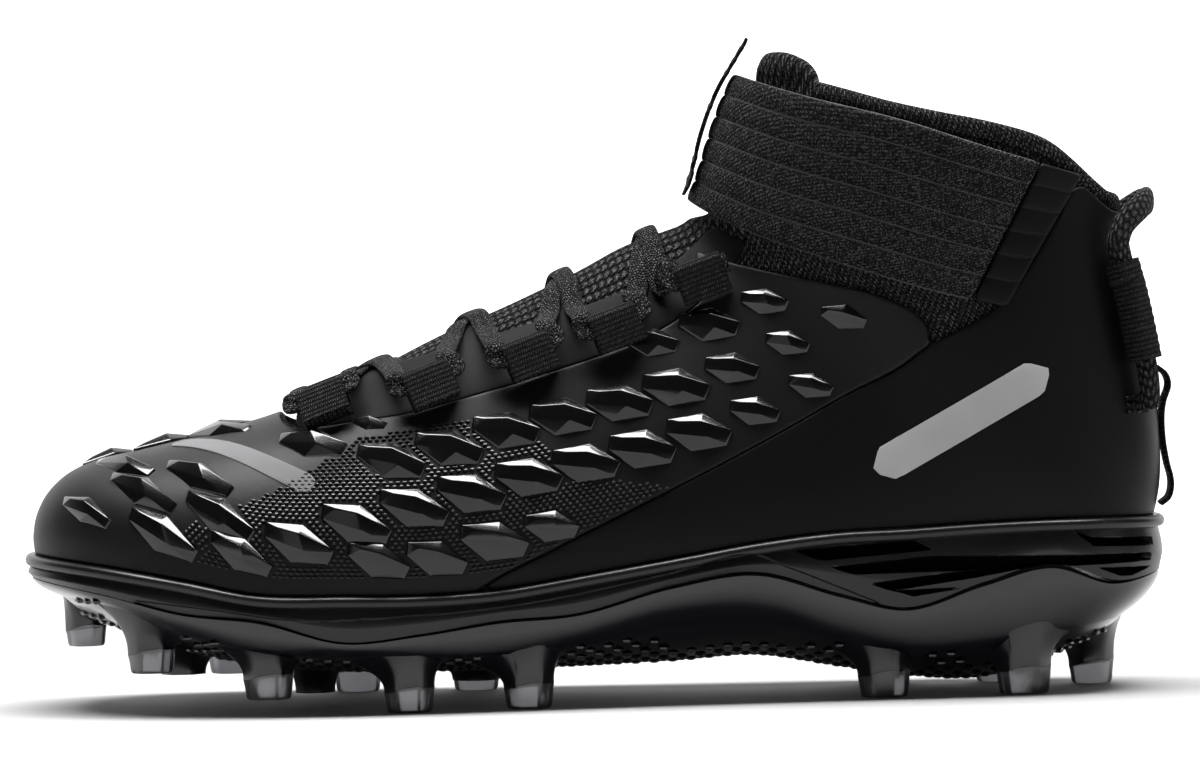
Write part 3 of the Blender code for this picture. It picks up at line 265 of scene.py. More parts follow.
TOE_BAND_REACH = 0.0105

# How far above the lip the small beads reach, at places along the shoe in metres
BEAD_TOP = (
    (-0.121, 0.000), (-0.116, 0.005), (-0.102, 0.015), (-0.089, 0.022), (-0.075, 0.029), (-0.060, 0.039),
    (-0.033, 0.043), (-0.012, 0.034), (-0.003, 0.025), (0.010, 0.021), (0.030, 0.015),
)

# The crease of the midsole's side step: x as a share of SHOE_LENGTH, z as a share of SOLE_HEIGHT
STEP_CREASE = (
    (0.1000, 0.668), (0.1700, 0.612), (0.2500, 0.545), (0.3490, 0.560), (0.4160, 0.590), (0.4830, 0.650),
    (0.5670, 0.755), (0.6290, 0.850), (0.6680, 0.765), (0.7050, 0.665), (0.7450, 0.555),
)

# The studio: each light's name, place, size and power
LIGHTS = (
    ("top_light", (0.0, 0.08, 1.35), (1.5, 0.55), 60.0),
    ("front_light", (-1.1, -1.5, 0.5), (0.5, 0.9), 0.8),
    ("heel_light", (1.5, -0.5, 0.5), (0.5, 0.9), 0.8),
)


def along(share: float) -> float:
    """The x of a share of the shoe's length from the toe."""
    return (share - 0.5) * SHOE_LENGTH


def tube_faces(rings: int, count: int) -> list[tuple[int, int, int, int]]:
    """The quads between rings of points, each ring count points round."""
    return [
        (i * count + k, i * count + (k + 1) % count, (i + 1) * count + (k + 1) % count, (i + 1) * count + k)
        for i in range(rings - 1)
        for k in range(count)
    ]


def tube_ends(rings: int, count: int) -> list[list[int]]:
    """The two faces that close a tube of rings."""
    return [list(range(count)), list(range((rings - 1) * count, rings * count))]


def spline(rows: Sequence[Sequence[float]], count: int) -> np.ndarray:
    """Rows of numbers resampled by a uniform Catmull-Rom curve.

    Args:
        rows: the rows, each of the same length.
        count: steps to each interval.

    Returns:
        The resampled rows, the last included.
    """
    data = np.array(rows, float)
    ends = np.vstack([2 * data[0] - data[1], data, 2 * data[-1] - data[-2]])
    made = []
    for i in range(len(data) - 1):
        a, b, c, d = ends[i : i + 4]
        square, cube = 2 * a - 5 * b + 4 * c - d, 3 * b - a - 3 * c + d
        for t in np.arange(count) / count:
            made.append(0.5 * (2 * b + (c - a) * t + square * t**2 + cube * t**3))
    made.append(data[-1])
    return np.array(made)


def side_line(pairs: Sequence[Point2], count: int = 6, drop: float = 0.0) -> np.ndarray:
    """A smoothed side-view line in metres, lowered by drop."""
    points = spline([(along(x), z * FORM_HEIGHT) for x, z in pairs], count)
    return points - np.array([0.0, drop])


def smoothstep(value: np.ndarray | float, low: float, high: float) -> np.ndarray:
    """A smooth rise from 0 at low to 1 at high."""
    t = np.clip((np.asarray(value, float) - low) / (high - low), 0.0, 1.0)
    return t * t * (3 - 2 * t)


def outline_distance(points: np.ndarray, outline: np.ndarray) -> np.ndarray:
    """The signed distance of side-view points to a closed outline.

    Args:
        points: n points, as x and z.
        outline: the outline's corners in order, as x and z.

    Returns:
        One distance each, above zero inside the outline.
    """
    best = np.full(len(points), 1e9)
    inside = np.zeros(len(points), bool)
    for a, b in zip(outline, np.roll(outline, -1, axis=0)):
        edge = b - a
        length = max(float(edge @ edge), 1e-16)
        t = np.clip(((points - a) @ edge) / length, 0.0, 1.0)
        best = np.minimum(best, np.hypot(*(points - a - t[:, None] * edge).T))
        rises = (a[1] > points[:, 1]) != (b[1] > points[:, 1])
        if abs(edge[1]) > 1e-12:
            inside ^= rises & (points[:, 0] < edge[0] * (points[:, 1] - a[1]) / edge[1] + a[0])
    return np.where(inside, best, -best)


@dataclass
class SoleProfile:
    """The sole's side view: heights of its lines at any x."""

    table: np.ndarray = field(default_factory=lambda: np.array(SOLE_PROFILE, float))

    def height(self, x: np.ndarray | float, column: str) -> np.ndarray:
        """A column of the sole's table, along a cubic through the rows.

        Args:
            x: one place or many along the shoe.
            column: the column's name.

        Returns:
            The height, or the tuck, in metres.
        """
        xs, ys = self.table[:, 0], self.table[:, SOLE_COLUMNS.index(column)]
        slopes = np.gradient(ys, xs)
        share = np.clip(np.asarray(x, float) / SHOE_LENGTH + 0.5, 0.0, 1.0)
        i = np.clip(np.searchsorted(xs, share, side="right") - 1, 0, len(xs) - 2)
        width = xs[i + 1] - xs[i]
        t = (share - xs[i]) / width
        value = (
            (2 * t**3 - 3 * t**2 + 1) * ys[i]
            + (t**3 - 2 * t**2 + t) * width * slopes[i]
            + (3 * t**2 - 2 * t**3) * ys[i + 1]
            + (t**3 - t**2) * width * slopes[i + 1]
        )
        return value * SOLE_HEIGHT


SOLE = SoleProfile()


class LastForm:
    """The form that every piece of the upper is laid over, as a fine grid and a ray target."""

    def __init__(self, steps: int = 8, around: int = 176) -> None:
        """Builds the grid.

        Args:
            steps: rings to each interval of the section table.
            around: points round each ring.
        """
        sections = [dict(zip(SECTION_COLUMNS, row)) for row in spline(SECTIONS, steps)]
        rings = np.array([self._ring(section, around) for section in sections])
        self.points = rings
        ahead = np.gradient(rings, axis=0)
        girthwise = np.roll(rings, -1, axis=1) - np.roll(rings, 1, axis=1)
        normals = np.cross(girthwise, ahead)
        length = np.linalg.norm(normals, axis=2, keepdims=True)
        self.normals = normals / np.maximum(length, 1e-12)
        middle = rings.mean(axis=1, keepdims=True)
        if np.sum(self.normals * (rings - middle)) < 0:
            self.normals = -self.normals
        girth = np.linalg.norm(np.diff(rings, axis=1, append=rings[:, :1]), axis=2)
        climb = np.cumsum(girth, axis=1) - girth
        total = girth.sum(axis=1, keepdims=True)
        self.across = np.where(climb > total / 2, climb - total, climb)
        run = np.linalg.norm(np.diff(rings, axis=0, prepend=rings[:1]), axis=2)
        self.run = np.cumsum(run, axis=0)
        faces = tube_faces(len(rings), around)
        self.faces = np.array(faces)
        self.tree = BVHTree.FromPolygons(rings.reshape(-1, 3).tolist(), faces + tube_ends(len(rings), around))

    @staticmethod
    def _ring(section: dict[str, float], around: int) -> np.ndarray:
        """One section's loop of points, from its row by column."""
        top = np.array([along(section["top_x"]), section["top_z"] * FORM_HEIGHT])
        bottom = np.array([along(section["bottom_x"]), section["bottom_z"] * FORM_HEIGHT])
        half, widest = section["half"] * FORM_WIDTH / 2, section["widest"]
        angle = 2 * math.pi * np.arange(around) / around
        up, out = np.cos(angle), -np.sin(angle)
        high, low = 2 / section["round_top"], 2 / section["round_bottom"]
        upper = widest * (1 - np.abs(up) ** high)
        lower = widest + (1 - widest) * np.abs(up) ** low
        down = np.where(up >= 0, upper, lower)
        reach = np.sign(out) * np.where(up >= 0, np.abs(out) ** high, np.abs(out) ** low)
        x, z = top[:, None] + (bottom - top)[:, None] * down
        return np.stack([x, section["mid"] * TOE_OFFSET + reach * half, z], axis=1)

    def side_point(self, x: float, z: float, side: Side) -> tuple[Vector, Vector]:
        """A point of the form seen from one side.

        Args:
            x: the place along the shoe.
            z: the height.
            side: the side of the shoe.

        Returns:
            The point and its outward normal.
        """
        hit = self.tree.ray_cast(Vector((x, side.value * 0.2, z)), Vector((0, -side.value, 0)))
        normal = hit[1] if hit[1].y * side.value > 0 else -hit[1]
        return hit[0], normal

    def girth_point(self, x: float, angle: float) -> tuple[Vector, Vector]:
        """A point of the form seen from its core.

        Args:
            x: the place along the shoe.
            angle: the angle from straight up towards the outer side.

        Returns:
            The point and its outward normal.
        """
        low = float(SOLE.height(x, "bite"))
        ridge = self.tree.ray_cast(Vector((x, 0, OUTSIDE)), Vector((0, 0, -1)))[0].z
        direction = Vector((0, -math.sin(angle), math.cos(angle)))
        hit = self.tree.ray_cast(Vector((x, 0, min(low + 0.012, (low + ridge) / 2))), direction)
        return hit[0], hit[1] if hit[1].dot(direction) > 0 else -hit[1]

    def back_point(self, y: float, z: float, lift: float) -> tuple[Vector, Vector]:
        """A point over the back of the heel quarter.

        Args:
            y: the place across the shoe.
            z: the height.
            lift: the gap to the quarter.

        Returns:
            The point and its outward direction in plan.
        """
        hit = self.tree.ray_cast(Vector((OUTSIDE, y, min(z, HEEL_TOP * FORM_HEIGHT))), Vector((-1, 0, 0)))
        normal = Vector((hit[1].x, hit[1].y, 0)).normalized()
        normal = normal if normal.x > 0 else -normal
        point = hit[0] + normal * (GAP + QUARTER_WALL + lift)
        return Vector((point.x, point.y, z)), normal


@dataclass
class Patch:
    """Triangles cut from the last form. Each row of data is x, y, z, its normal, u, v, then the marks."""

    data: np.ndarray
    faces: np.ndarray
    names: list[str]
    touching: ClassVar[float] = 2e-6

    @classmethod
    def from_form(cls, form: LastForm) -> "Patch":
        """The whole form as triangles, with a fan over the toe."""
        count = form.points.shape[1]
        columns = [form.points, form.normals, form.run[:, :, None], form.across[:, :, None]]
        data = np.concatenate(columns, axis=2).reshape(-1, 8)
        middle = data[:count].mean(axis=0)
        middle[3:6] = (-1.0, 0.0, 0.0)
        data = np.vstack([data, middle])
        fan = [(k, len(data) - 1, (k + 1) % count) for k in range(count)]
        faces = np.vstack([form.faces[:, [0, 1, 2]], form.faces[:, [0, 2, 3]], fan])
        return cls(data, faces, [])

    @property
    def points(self) -> np.ndarray:
        """The corners' places."""
        return self.data[:, :3]

    def mark(self, name: str, values: np.ndarray) -> None:
        """Adds a named value at every corner."""
        self.data = np.column_stack([self.data, values])
        self.names.append(name)

    def value(self, name: str) -> np.ndarray:
        """A mark's values."""
        return self.data[:, 8 + self.names.index(name)]

    def split(self, name: str, level: float) -> None:
        """Cuts the triangles along the line where a mark has a level.

        Args:
            name: the mark.
            level: its level on the line.
        """
        value = self.value(name) - level
        value[np.abs(value) < self.touching] = 0.0
        corner = value[self.faces]
        crossing = (corner.max(axis=1) > 0) & (corner.min(axis=1) < 0)
        rows, made, faces = [], {}, []
        base = len(self.data)

        def cut(a: int, b: int) -> int:
            """The new corner on the edge from a to b."""
            key = (min(a, b), max(a, b))
            if key not in made:
                low, high = key
                t = value[low] / (value[low] - value[high])
                made[key] = base + len(rows)
                rows.append(self.data[low] * (1 - t) + self.data[high] * t)
            return made[key]

        for face in self.faces[crossing]:
            signs = np.sign(value[face]).astype(int).tolist()
            face = face.tolist()
            if 0 in signs:
                i = signs.index(0)
                a, b, c = face[i], face[i - 2], face[i - 1]
                middle = cut(b, c)
                faces += [(a, b, middle), (a, middle, c)]
            else:
                i = next(i for i in range(3) if signs.count(signs[i]) == 1)
                a, b, c = face[i], face[i - 2], face[i - 1]
                near, far = cut(a, b), cut(a, c)
                faces += [(a, near, far), (near, b, c), (near, c, far)]
        if rows:
            self.data = np.vstack([self.data, rows])
        self.faces = np.vstack([self.faces[~crossing]] + ([faces] if faces else []))

    def trim(self, name: str, level: float = 0.0) -> None:
        """Keeps the part where a mark is above a level.

        Args:
            name: the mark.
            level: the level at the new border.
        """
        self.split(name, level)
        value = self.value(name)[self.faces] - level
        kept = self.faces[(value.min(axis=1) > -2 * self.touching) & (value.max(axis=1) > self.touching)]
        used, self.faces = np.unique(kept, return_inverse=True)
        self.faces = self.faces.reshape(-1, 3)
        self.data = self.data[used]

    def rounded(self, name: str, radius: float) -> np.ndarray:
        """Cuts the patch finely near its border, to round it.

        Args:
            name: the mark that holds the distance to the border.
            radius: the rounding's radius.

        Returns:
            How far each corner sinks.
        """
        for share in (0.06, 0.22, 0.55, 1.0):
            self.split(name, radius * share)
        t = 1 - np.clip(self.value(name) / radius, 0.0, 1.0)
        return radius * (1 - np.sqrt(np.maximum(1 - t * t, 0.0)))

    def shell(self, outer: np.ndarray | float, inner: np.ndarray | float) -> "Solid":
        """A closed wall between two offsets of the patch.

        Args:
            outer: the outer face's distance from the form.
            inner: the inner face's distance.

        Returns:
            The wall, with the patch's marks on both faces.
        """
        normals = self.data[:, 3:6]
        normals = normals / np.maximum(np.linalg.norm(normals, axis=1, keepdims=True), 1e-9)
        count = len(self.data)
        outside = self.points + normals * np.broadcast_to(outer, count)[:, None]
        inside = self.points + normals * np.broadcast_to(inner, count)[:, None]
        edges = np.concatenate([self.faces[:, [0, 1]], self.faces[:, [1, 2]], self.faces[:, [2, 0]]])
        keys = np.sort(edges, axis=1)
        _, place, times = np.unique(keys, axis=0, return_index=True, return_counts=True)
        start, end = edges[place[times == 1]].T
        low = np.column_stack([end, start, start + count])
        high = np.column_stack([end, start + count, end + count])
        faces = np.concatenate([self.faces, self.faces[:, ::-1] + count, low, high])
        uv = np.vstack([self.data[:, 6:8]] * 2)
        marks = {name: np.tile(self.value(name), 2) for name in self.names}
        return Solid(np.vstack([outside, inside]), faces.tolist(), uv, marks)


@dataclass
class Solid:
    """A mesh in the making: points, faces, a uv in metres at each point, and named values."""

    points: np.ndarray
    faces: list[Sequence[int]]
    uv: np.ndarray
    marks: dict[str, np.ndarray] = field(default_factory=dict)

    def add(self, other: "Solid") -> "Solid":
        """This solid with another beside it, as one.

        Args:
            other: the other solid. A mark that one of the two lacks is zero there.

        Returns:
            The two together.
        """
        shift = len(self.points)
        blank, blank_other = np.zeros(shift), np.zeros(len(other.points))
        marks = {
            name: np.concatenate([self.marks.get(name, blank), other.marks.get(name, blank_other)])
            for name in sorted(set(self.marks) | set(other.marks))
        }
        faces = list(self.faces) + [[i + shift for i in face] for face in other.faces]
        return Solid(np.vstack([self.points, other.points]), faces, np.vstack([self.uv, other.uv]), marks)

    def place(
        self, name: str, finish: Material, slot: str, stands_for: Sequence[str] = (), sharp: float = 38.0
    ) -> Object:
        """Makes the object, dresses it and hangs it on the shoe.

        Args:
            name: the piece's name.
            finish: its material.
            slot: the name of a material slot; not used.
            stands_for: the CAD nodes that it replaces.
            sharp: the angle, in degrees, above which an edge is drawn sharp.

        Returns:
            The new object.
        """
        mesh = bpy.data.meshes.new(name)
        mesh.from_pydata(self.points.tolist(), [], self.faces)
        mesh.validate()
        loops = np.zeros(len(mesh.loops), int)
        mesh.loops.foreach_get("vertex_index", loops)
        mesh.uv_layers.new(name="metres").data.foreach_set("uv", self.uv[loops].ravel())
        for mark, values in self.marks.items():
            layer = mesh.attributes.new(mark, "FLOAT", "POINT")
            layer.data.foreach_set("value", values.astype(np.float32))
        bm = bmesh.new()
        bm.from_mesh(mesh)
        bmesh.ops.recalc_face_normals(bm, faces=bm.faces[:])
        bm.to_mesh(mesh)
        bm.free()
        mesh.shade_smooth()
        mesh.set_sharp_from_angle(angle=math.radians(sharp))
        mesh.materials.append(finish)
        obj = bpy.data.objects.new(name, mesh)
        bpy.context.scene.collection.objects.link(obj)
        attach(obj, "root")
        if stands_for:
            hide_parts(*stands_for)
        LOG.info("%s: %d faces", name, len(mesh.polygons))
        return obj


def sweep(points: Sequence[Vector], normals: Sequence[Vector], section: np.ndarray, size: Size) -> Solid:
    """A closed strip of a section carried through points.

    Args:
        points: the middle of the strip.
        normals: the way that the section's second side faces at each point.
        section: the section's corners, in shares of the strip's two sizes.
        size: width and thickness at a share of the strip's length.

    Returns:
        The strip, its uv running along it and round it.
    """
    path = [Vector(p) for p in points]
    steps = [0.0]
    for a, b in zip(path, path[1:]):
        steps.append(steps[-1] + (b - a).length)
    sides = np.hypot(*np.diff(np.vstack([section, section[:1]]), axis=0).T)
    girth = np.concatenate([[0], np.cumsum(sides)])[:-1]
    made, uv = [], []
    for i, (point, normal) in enumerate(zip(path, normals)):
        run = (path[min(i + 1, len(path) - 1)] - path[max(i - 1, 0)]).normalized()
        across = run.cross(Vector(normal)).normalized()
        rise = across.cross(run).normalized()
        width, thickness = size(steps[i] / steps[-1])
        for k, (a, b) in enumerate(section):
            made.append(point + across * float(a * width) + rise * float(b * thickness))
            uv.append((steps[i], girth[k] * width))
    count, total = len(section), len(path)
    faces = tube_faces(total, count) + tube_ends(total, count)
    return Solid(np.array([tuple(p) for p in made]), faces, np.array(uv))


def oval(count: int, square: float = 2.0) -> np.ndarray:
    """A superellipse section of size 1 by 1, with count corners, that a power above 2 squares off."""
    angle = 2 * math.pi * np.arange(count) / count
    sides = (np.cos(angle), np.sin(angle))
    return np.column_stack([np.sign(c) * np.abs(c) ** (2 / square) for c in sides]) / 2


def smooth_path(points: Sequence[Vector], normals: Sequence[Vector], count: int) -> Route:
    """A route and its normals resampled along a smooth curve, count steps to each leg."""
    fine = spline([(*p, *n) for p, n in zip(points, normals)], count)
    return [Vector(row[:3]) for row in fine], [Vector(row[3:]).normalized() for row in fine]


class Wire:
    """A shader socket on which Python's operators make Math nodes."""

    def __init__(self, graph: "Graph", socket: NodeSocket) -> None:
        """Wraps a socket of a graph."""
        self.graph = graph
        self.socket = socket

    def _maths(self, operation: str, first: "Wire | Number", second: "Wire | Number") -> "Wire":
        """A Math node of an operation on two values."""
        return self.graph.node("ShaderNodeMath", {"operation": operation}, {0: first, 1: second})

    def __add__(self, other: "Wire | Number") -> "Wire":
        """This plus other."""
        return self._maths("ADD", self, other)

    __radd__ = __add__

    def __sub__(self, other: "Wire | Number") -> "Wire":
        """This less other."""
        return self._maths("SUBTRACT", self, other)

    def __rsub__(self, other: "Wire | Number") -> "Wire":
        """Other less this."""
        return self._maths("SUBTRACT", other, self)

    def __mul__(self, other: "Wire | Number") -> "Wire":
        """This times other."""
        return self._maths("MULTIPLY", self, other)

    __rmul__ = __mul__

    def __pow__(self, other: "Wire | Number") -> "Wire":
        """This to a power."""
        return self._maths("POWER", self, other)

    def __mod__(self, other: "Wire | Number") -> "Wire":
        """What is left of this over other, never below zero."""
        return self._maths("FLOORED_MODULO", self, other)

    def of(self, operation: str, other: "Wire | Number" = 0.0) -> "Wire":
        """Any other Math operation, such as FLOOR or ABSOLUTE."""
        return self._maths(operation, self, other)


class Graph:
    """One material's nodes."""

    def __init__(self, name: str) -> None:
        """Starts a material of a name."""
        self.material = bpy.data.materials.new(name)
        self.material.use_nodes = True
        self.tree = self.material.node_tree
        self.shader = self.tree.nodes["Principled BSDF"]

    def node(
        self, kind: str, settings: dict | None = None, inputs: dict | None = None, output: str | int = 0
    ) -> Wire:
        """Adds a node.

        Args:
            kind: the node's type.
            settings: its properties, set first.
            inputs: the values or wires of its sockets, by name or number.
            output: the socket that is returned.

        Returns:
            The node's output.
        """
        made = self.tree.nodes.new(kind)
        for key, value in (settings or {}).items():
            setattr(made, key, value)
        for key, value in (inputs or {}).items():
            self.feed(made.inputs[key], value)
        return Wire(self, made.outputs[output])

    def feed(self, socket: NodeSocket, value: "Wire | Number | Sequence[float]") -> None:
        """Links a wire to a socket, or sets its value."""
        if isinstance(value, Wire):
            self.tree.links.new(value.socket, socket)
        else:
            socket.default_value = value

    def mix(
        self, share: "Wire | Number", first: "Wire | Sequence[float]", second: "Wire | Sequence[float]"
    ) -> Wire:
        """A mix of two colours."""
        first, second = (c if isinstance(c, Wire) else (*c, 1.0) for c in (first, second))
        return self.node("ShaderNodeMix", {"data_type": "RGBA"}, {0: share, 6: first, 7: second}, 2)

    def ramp(self, value: Wire, low: float, high: float) -> Wire:
        """A smooth rise of a value, from 0 at low to 1 at high."""
        settings = {"interpolation_type": "SMOOTHSTEP"}
        return self.node("ShaderNodeMapRange", settings, {0: value, 1: low, 2: high})

    def noise(self, place: Wire, scale: float, detail: float = 3.0) -> Wire:
        """Noise, from 0 to 1."""
        return self.node("ShaderNodeTexNoise", None, {"Vector": place, "Scale": scale, "Detail": detail})

    def stretched(self, place: Wire, scale: tuple[float, float, float]) -> Wire:
        """A place with each axis scaled."""
        return self.node("ShaderNodeVectorMath", {"operation": "MULTIPLY"}, {0: place, 1: scale})

    def object_place(self) -> Wire:
        """The place in metres on the shoe."""
        return self.node("ShaderNodeTexCoord", None, None, "Object")

    def uv(self) -> tuple[Wire, Wire]:
        """The uv in metres, along and across."""
        place = self.node("ShaderNodeUVMap", {"uv_map": "metres"})
        parts = self.tree.nodes.new("ShaderNodeSeparateXYZ")
        self.tree.links.new(place.socket, parts.inputs[0])
        return Wire(self, parts.outputs[0]), Wire(self, parts.outputs[1])

    def mark(self, name: str) -> Wire:
        """A named value of the mesh."""
        return self.node("ShaderNodeAttribute", {"attribute_name": name}, None, "Fac")

    def bump(self, height: Wire, distance: float, strength: float = 1.0, over: Wire | None = None) -> Wire:
        """A bumped normal.

        Args:
            height: the relief, from 0 to 1.
            distance: its height in metres.
            strength: its weight.
            over: the normal that it is added to.

        Returns:
            The normal.
        """
        inputs: dict = {"Height": height, "Distance": distance, "Strength": strength}
        if over is not None:
            inputs["Normal"] = over
        return self.node("ShaderNodeBump", None, inputs)

    def shade(self, share: Wire, colour: Sequence[float]) -> None:
        """Paints shade on part of the surface: a near-black dull diffuse mixed in over the shader.

        Args:
            share: one where the painted shade is full.
            colour: the painted shade's colour.
        """
        painted_shade = self.tree.nodes.new("ShaderNodeBsdfDiffuse")
        painted_shade.inputs["Color"].default_value = (*colour, 1.0)
        blend = self.tree.nodes.new("ShaderNodeMixShader")
        self.feed(blend.inputs[0], share)
        self.tree.links.new(self.shader.outputs[0], blend.inputs[1])
        self.tree.links.new(painted_shade.outputs[0], blend.inputs[2])
        self.tree.links.new(blend.outputs[0], self.tree.nodes["Material Output"].inputs["Surface"])

    def finish(self, constants: dict[str, float | Sequence[float]], varying: dict[str, Wire]) -> Material:
        """Sets the shader's plain values and links its varying ones."""
        for name, value in {**constants, **varying}.items():
            self.feed(self.shader.inputs[name], value)
        return self.material


def grey(level: float, blue: float = 1.0) -> tuple[float, float, float]:
    """A neutral colour of a level, with a touch of blue."""
    return (level, level, level * blue)


@dataclass(frozen=True)
class FilmFinish:
    """The moulded film: fine grain, gloss on the lugs, and beads where the film is thin."""

    name: str = "moulded_film"
    level: float = 0.0030
    roughness: float = 0.44
    lug_roughness: float = 0.17
    grain: float = 0.00007

    def make(self) -> Material:
        """The material."""
        g = Graph(self.name)
        place = g.object_place()
        fine, broad = g.noise(place, 2600.0, 4.0), g.noise(place, 55.0, 2.0)
        lug = g.ramp(g.mark("lug"), 0.1, 0.5)
        bead_zone = g.ramp(g.mark("bead"), 0.25, 0.75)
        grain = g.bump(fine, self.grain, 0.6)
        rough = self.roughness + broad * 0.10 - lug * (self.roughness - self.lug_roughness) + bead_zone * 0.10
        colour = g.mix(broad, grey(self.level * 0.8), grey(self.level * 1.3, 1.05))
        return g.finish(
            {"Specular IOR Level": 0.22, "Coat Roughness": 0.07, "Coat IOR": 1.5},
            {"Base Color": colour, "Roughness": rough, "Coat Weight": lug * 0.62, "Normal": grain},
        )


@dataclass(frozen=True)
class SatinFinish:
    """Smooth moulded plastic or foam skin with a faint grain."""

    name: str
    level: float
    roughness: float
    grain: float = 0.00002
    pitch: float = 2200.0
    blue: float = 1.06
    coat: float = 0.0
    specular: float = 0.5
    # The mark of the recesses that get painted shade, a near-black dull diffuse.
    recess: str = ""

    def make(self) -> Material:
        """The material."""
        g = Graph(self.name)
        place = g.object_place()
        fine, broad = g.noise(place, self.pitch, 4.0), g.noise(place, 40.0, 3.0)
        scuff = g.ramp(g.noise(g.stretched(place, (1.0, 1.0, 6.0)), 300.0, 5.0), 0.62, 0.80)
        colour = g.mix(broad, grey(self.level * 0.75, self.blue), grey(self.level * 1.25, self.blue))
        rough = self.roughness + broad * 0.08 - 0.04 + scuff * 0.08
        # Painted shade: the marked recesses are mixed towards a near-black dull diffuse.
        if self.recess:
            g.shade(g.ramp(g.mark(self.recess), 0.0, 0.0003), grey(0.0015))
        return g.finish(
            {"Coat Weight": self.coat, "Coat Roughness": 0.08, "Specular IOR Level": self.specular},
            {"Base Color": colour, "Roughness": rough, "Normal": g.bump(fine, self.grain, 0.7)},
        )


@dataclass(frozen=True)
class KnitFinish:
    """A knit of rounded stitches in offset columns, with the fuzz of its yarn."""

    name: str
    level: float
    column: float
    course: float
    depth: float
    roughness: float = 0.82

    def make(self) -> Material:
        """The material."""
        g = Graph(self.name)
        u, v = g.uv()
        place = g.object_place()
        wobble = g.noise(place, 160.0, 2.0) * 0.25
        column = v * (1 / self.column) + wobble
        odd = column.of("FLOOR") % 2.0
        across = (column % 1.0 - 0.5).of("ABSOLUTE")
        up = (u * (1 / self.course) + odd * 0.5 + wobble + across * 0.5) % 1.0 - 0.5
        stitch = g.ramp((across * 1.7) ** 2.0 + (up * 1.7) ** 2.0, 0.9, 0.0)
        yarn = g.noise(place, 3200.0)
        loops = g.bump(stitch, self.depth, 1.0, g.bump(yarn, 0.00012, 0.8))
        # Painted shade in the stitch valleys and painted highlight on the tops, plus random yarn tone.
        colour = g.mix(stitch * 0.6 + yarn * 0.5, grey(self.level * 0.12), grey(self.level * 1.4, 1.03))
        # Painted highlights: bright specks on the stitch tops stand in for gloss.
        stitch_glint = g.ramp(g.noise(place, 2300.0, 1.0), 0.48, 0.60) * stitch
        colour = g.mix(stitch_glint, colour, grey(self.level * 9.0))
        return g.finish(
            {"Specular IOR Level": 0.05},
            {"Base Color": colour, "Roughness": self.roughness + yarn * 0.12, "Normal": loops},
        )


@dataclass(frozen=True)
class WovenFinish:
    """Webbing, elastic or lace: ribs across the strip and a bead of yarn along each."""

    name: str
    level: float
    rib: float
    yarn: float
    depth: float
    roughness: float = 0.62
    slant: float = 0.0
    # How strong the painted highlights on the yarn beads are.
    fleck: float = 0.0
    seams: int = 0
    seam_stitch: float = 0.0016

    def make(self) -> Material:
        """The material."""
        g = Graph(self.name)
        u, v = g.uv()
        place = g.object_place()
        line = u * (1 / self.rib)
        fold = ((v * (1 / (self.yarn * 4))) % 1.0 - 0.5).of("ABSOLUTE") * self.slant
        rib = ((line + fold) % 1.0 - 0.5).of("ABSOLUTE")
        odd = (line + fold).of("FLOOR") % 2.0
        strand = (v * (1 / self.yarn) + odd * 0.5) % 1.0 - 0.5
        bead = g.ramp((rib * 1.8) ** 2.0 + (strand * 1.8) ** 2.0, 0.95, 0.0)
        fuzz = g.noise(place, 4200.0)
        normal = g.bump(bead, self.depth, 1.0, g.bump(fuzz, 0.00008, 0.7))
        # Painted highlights: bright specks on the yarn beads stand in for gloss.
        rib_glint = g.ramp(g.noise(place, 2100.0, 1.0), 0.49, 0.60) * self.fleck * bead
        # Painted shade between the beads and painted highlight on them, plus random fuzz tone.
        colour = g.mix(bead * 0.8 + fuzz * 0.2, grey(self.level * 0.12), grey(self.level * 1.3, 1.04))
        colour = g.mix(rib_glint, colour, grey(self.level * 10.0))
        if self.seams:
            seam = ((g.mark("climb") * self.seams + 0.5) % 1.0 - 0.5).of("ABSOLUTE")
            stitch = g.ramp(seam, 0.055, 0.015) * g.ramp(((u + v) * (1 / self.seam_stitch)) % 1.0, 0.1, 0.3)
            colour = g.mix(stitch, colour, grey(self.level * 9.0))
        return g.finish(
            {"Specular IOR Level": 0.05},
            {"Base Color": colour, "Roughness": self.roughness + fuzz * 0.15, "Normal": normal},
        )


@dataclass(frozen=True)
class SmokeFinish:
    """The clear smoke of the stud tips."""

    name: str = "smoke_tip"
    dark: Point3 = (0.110, 0.110, 0.122)
    light: Point3 = (0.230, 0.228, 0.240)
    clear: float = 0.70
    coat: float = 0.6
    grain: float = 0.00003

    def make(self) -> Material:
        """The material."""
        g = Graph(self.name)
        place = g.object_place()
        cloud = g.noise(place, 120.0)
        colour = g.mix(cloud, self.dark, self.light)
        normal = g.bump(g.noise(place, 700.0), self.grain)
        glass = {"IOR": 1.46, "Transmission Weight": self.clear, "Specular IOR Level": 0.6}
        return g.finish(
            {**glass, "Coat Weight": self.coat, "Coat Roughness": 0.05},
            {"Base Color": colour, "Roughness": 0.12 + cloud * 0.10, "Normal": normal},
        )


class Side(Enum):
    """The two sides of the shoe."""

    OUTER = -1
    INNER = 1

    @property
    def word(self) -> str:
        """The side's name in the nodes."""
        return self.name.lower()

    @property
    def opposite(self) -> "Side":
        """The other side."""
        return Side(-self.value)


def on_side(side: Side) -> Measure:
    """A limit for a panel that keeps one side of the shoe."""
    return lambda points: np.where(points[:, 1] * side.value > 0, 1.0, -1.0)


def closed(*lines: Sequence[Sequence[float]]) -> np.ndarray:
    """One closed side-view outline from lines in order."""
    return np.vstack([np.asarray(line, float) for line in lines])


def bite_curve(drop: float = 0.0, count: int = 90) -> np.ndarray:
    """The line where the upper meets the sole, in side view."""
    x = np.linspace(along(-0.05), along(1.05), count)
    return np.column_stack([x, SOLE.height(x, "bite") - drop])


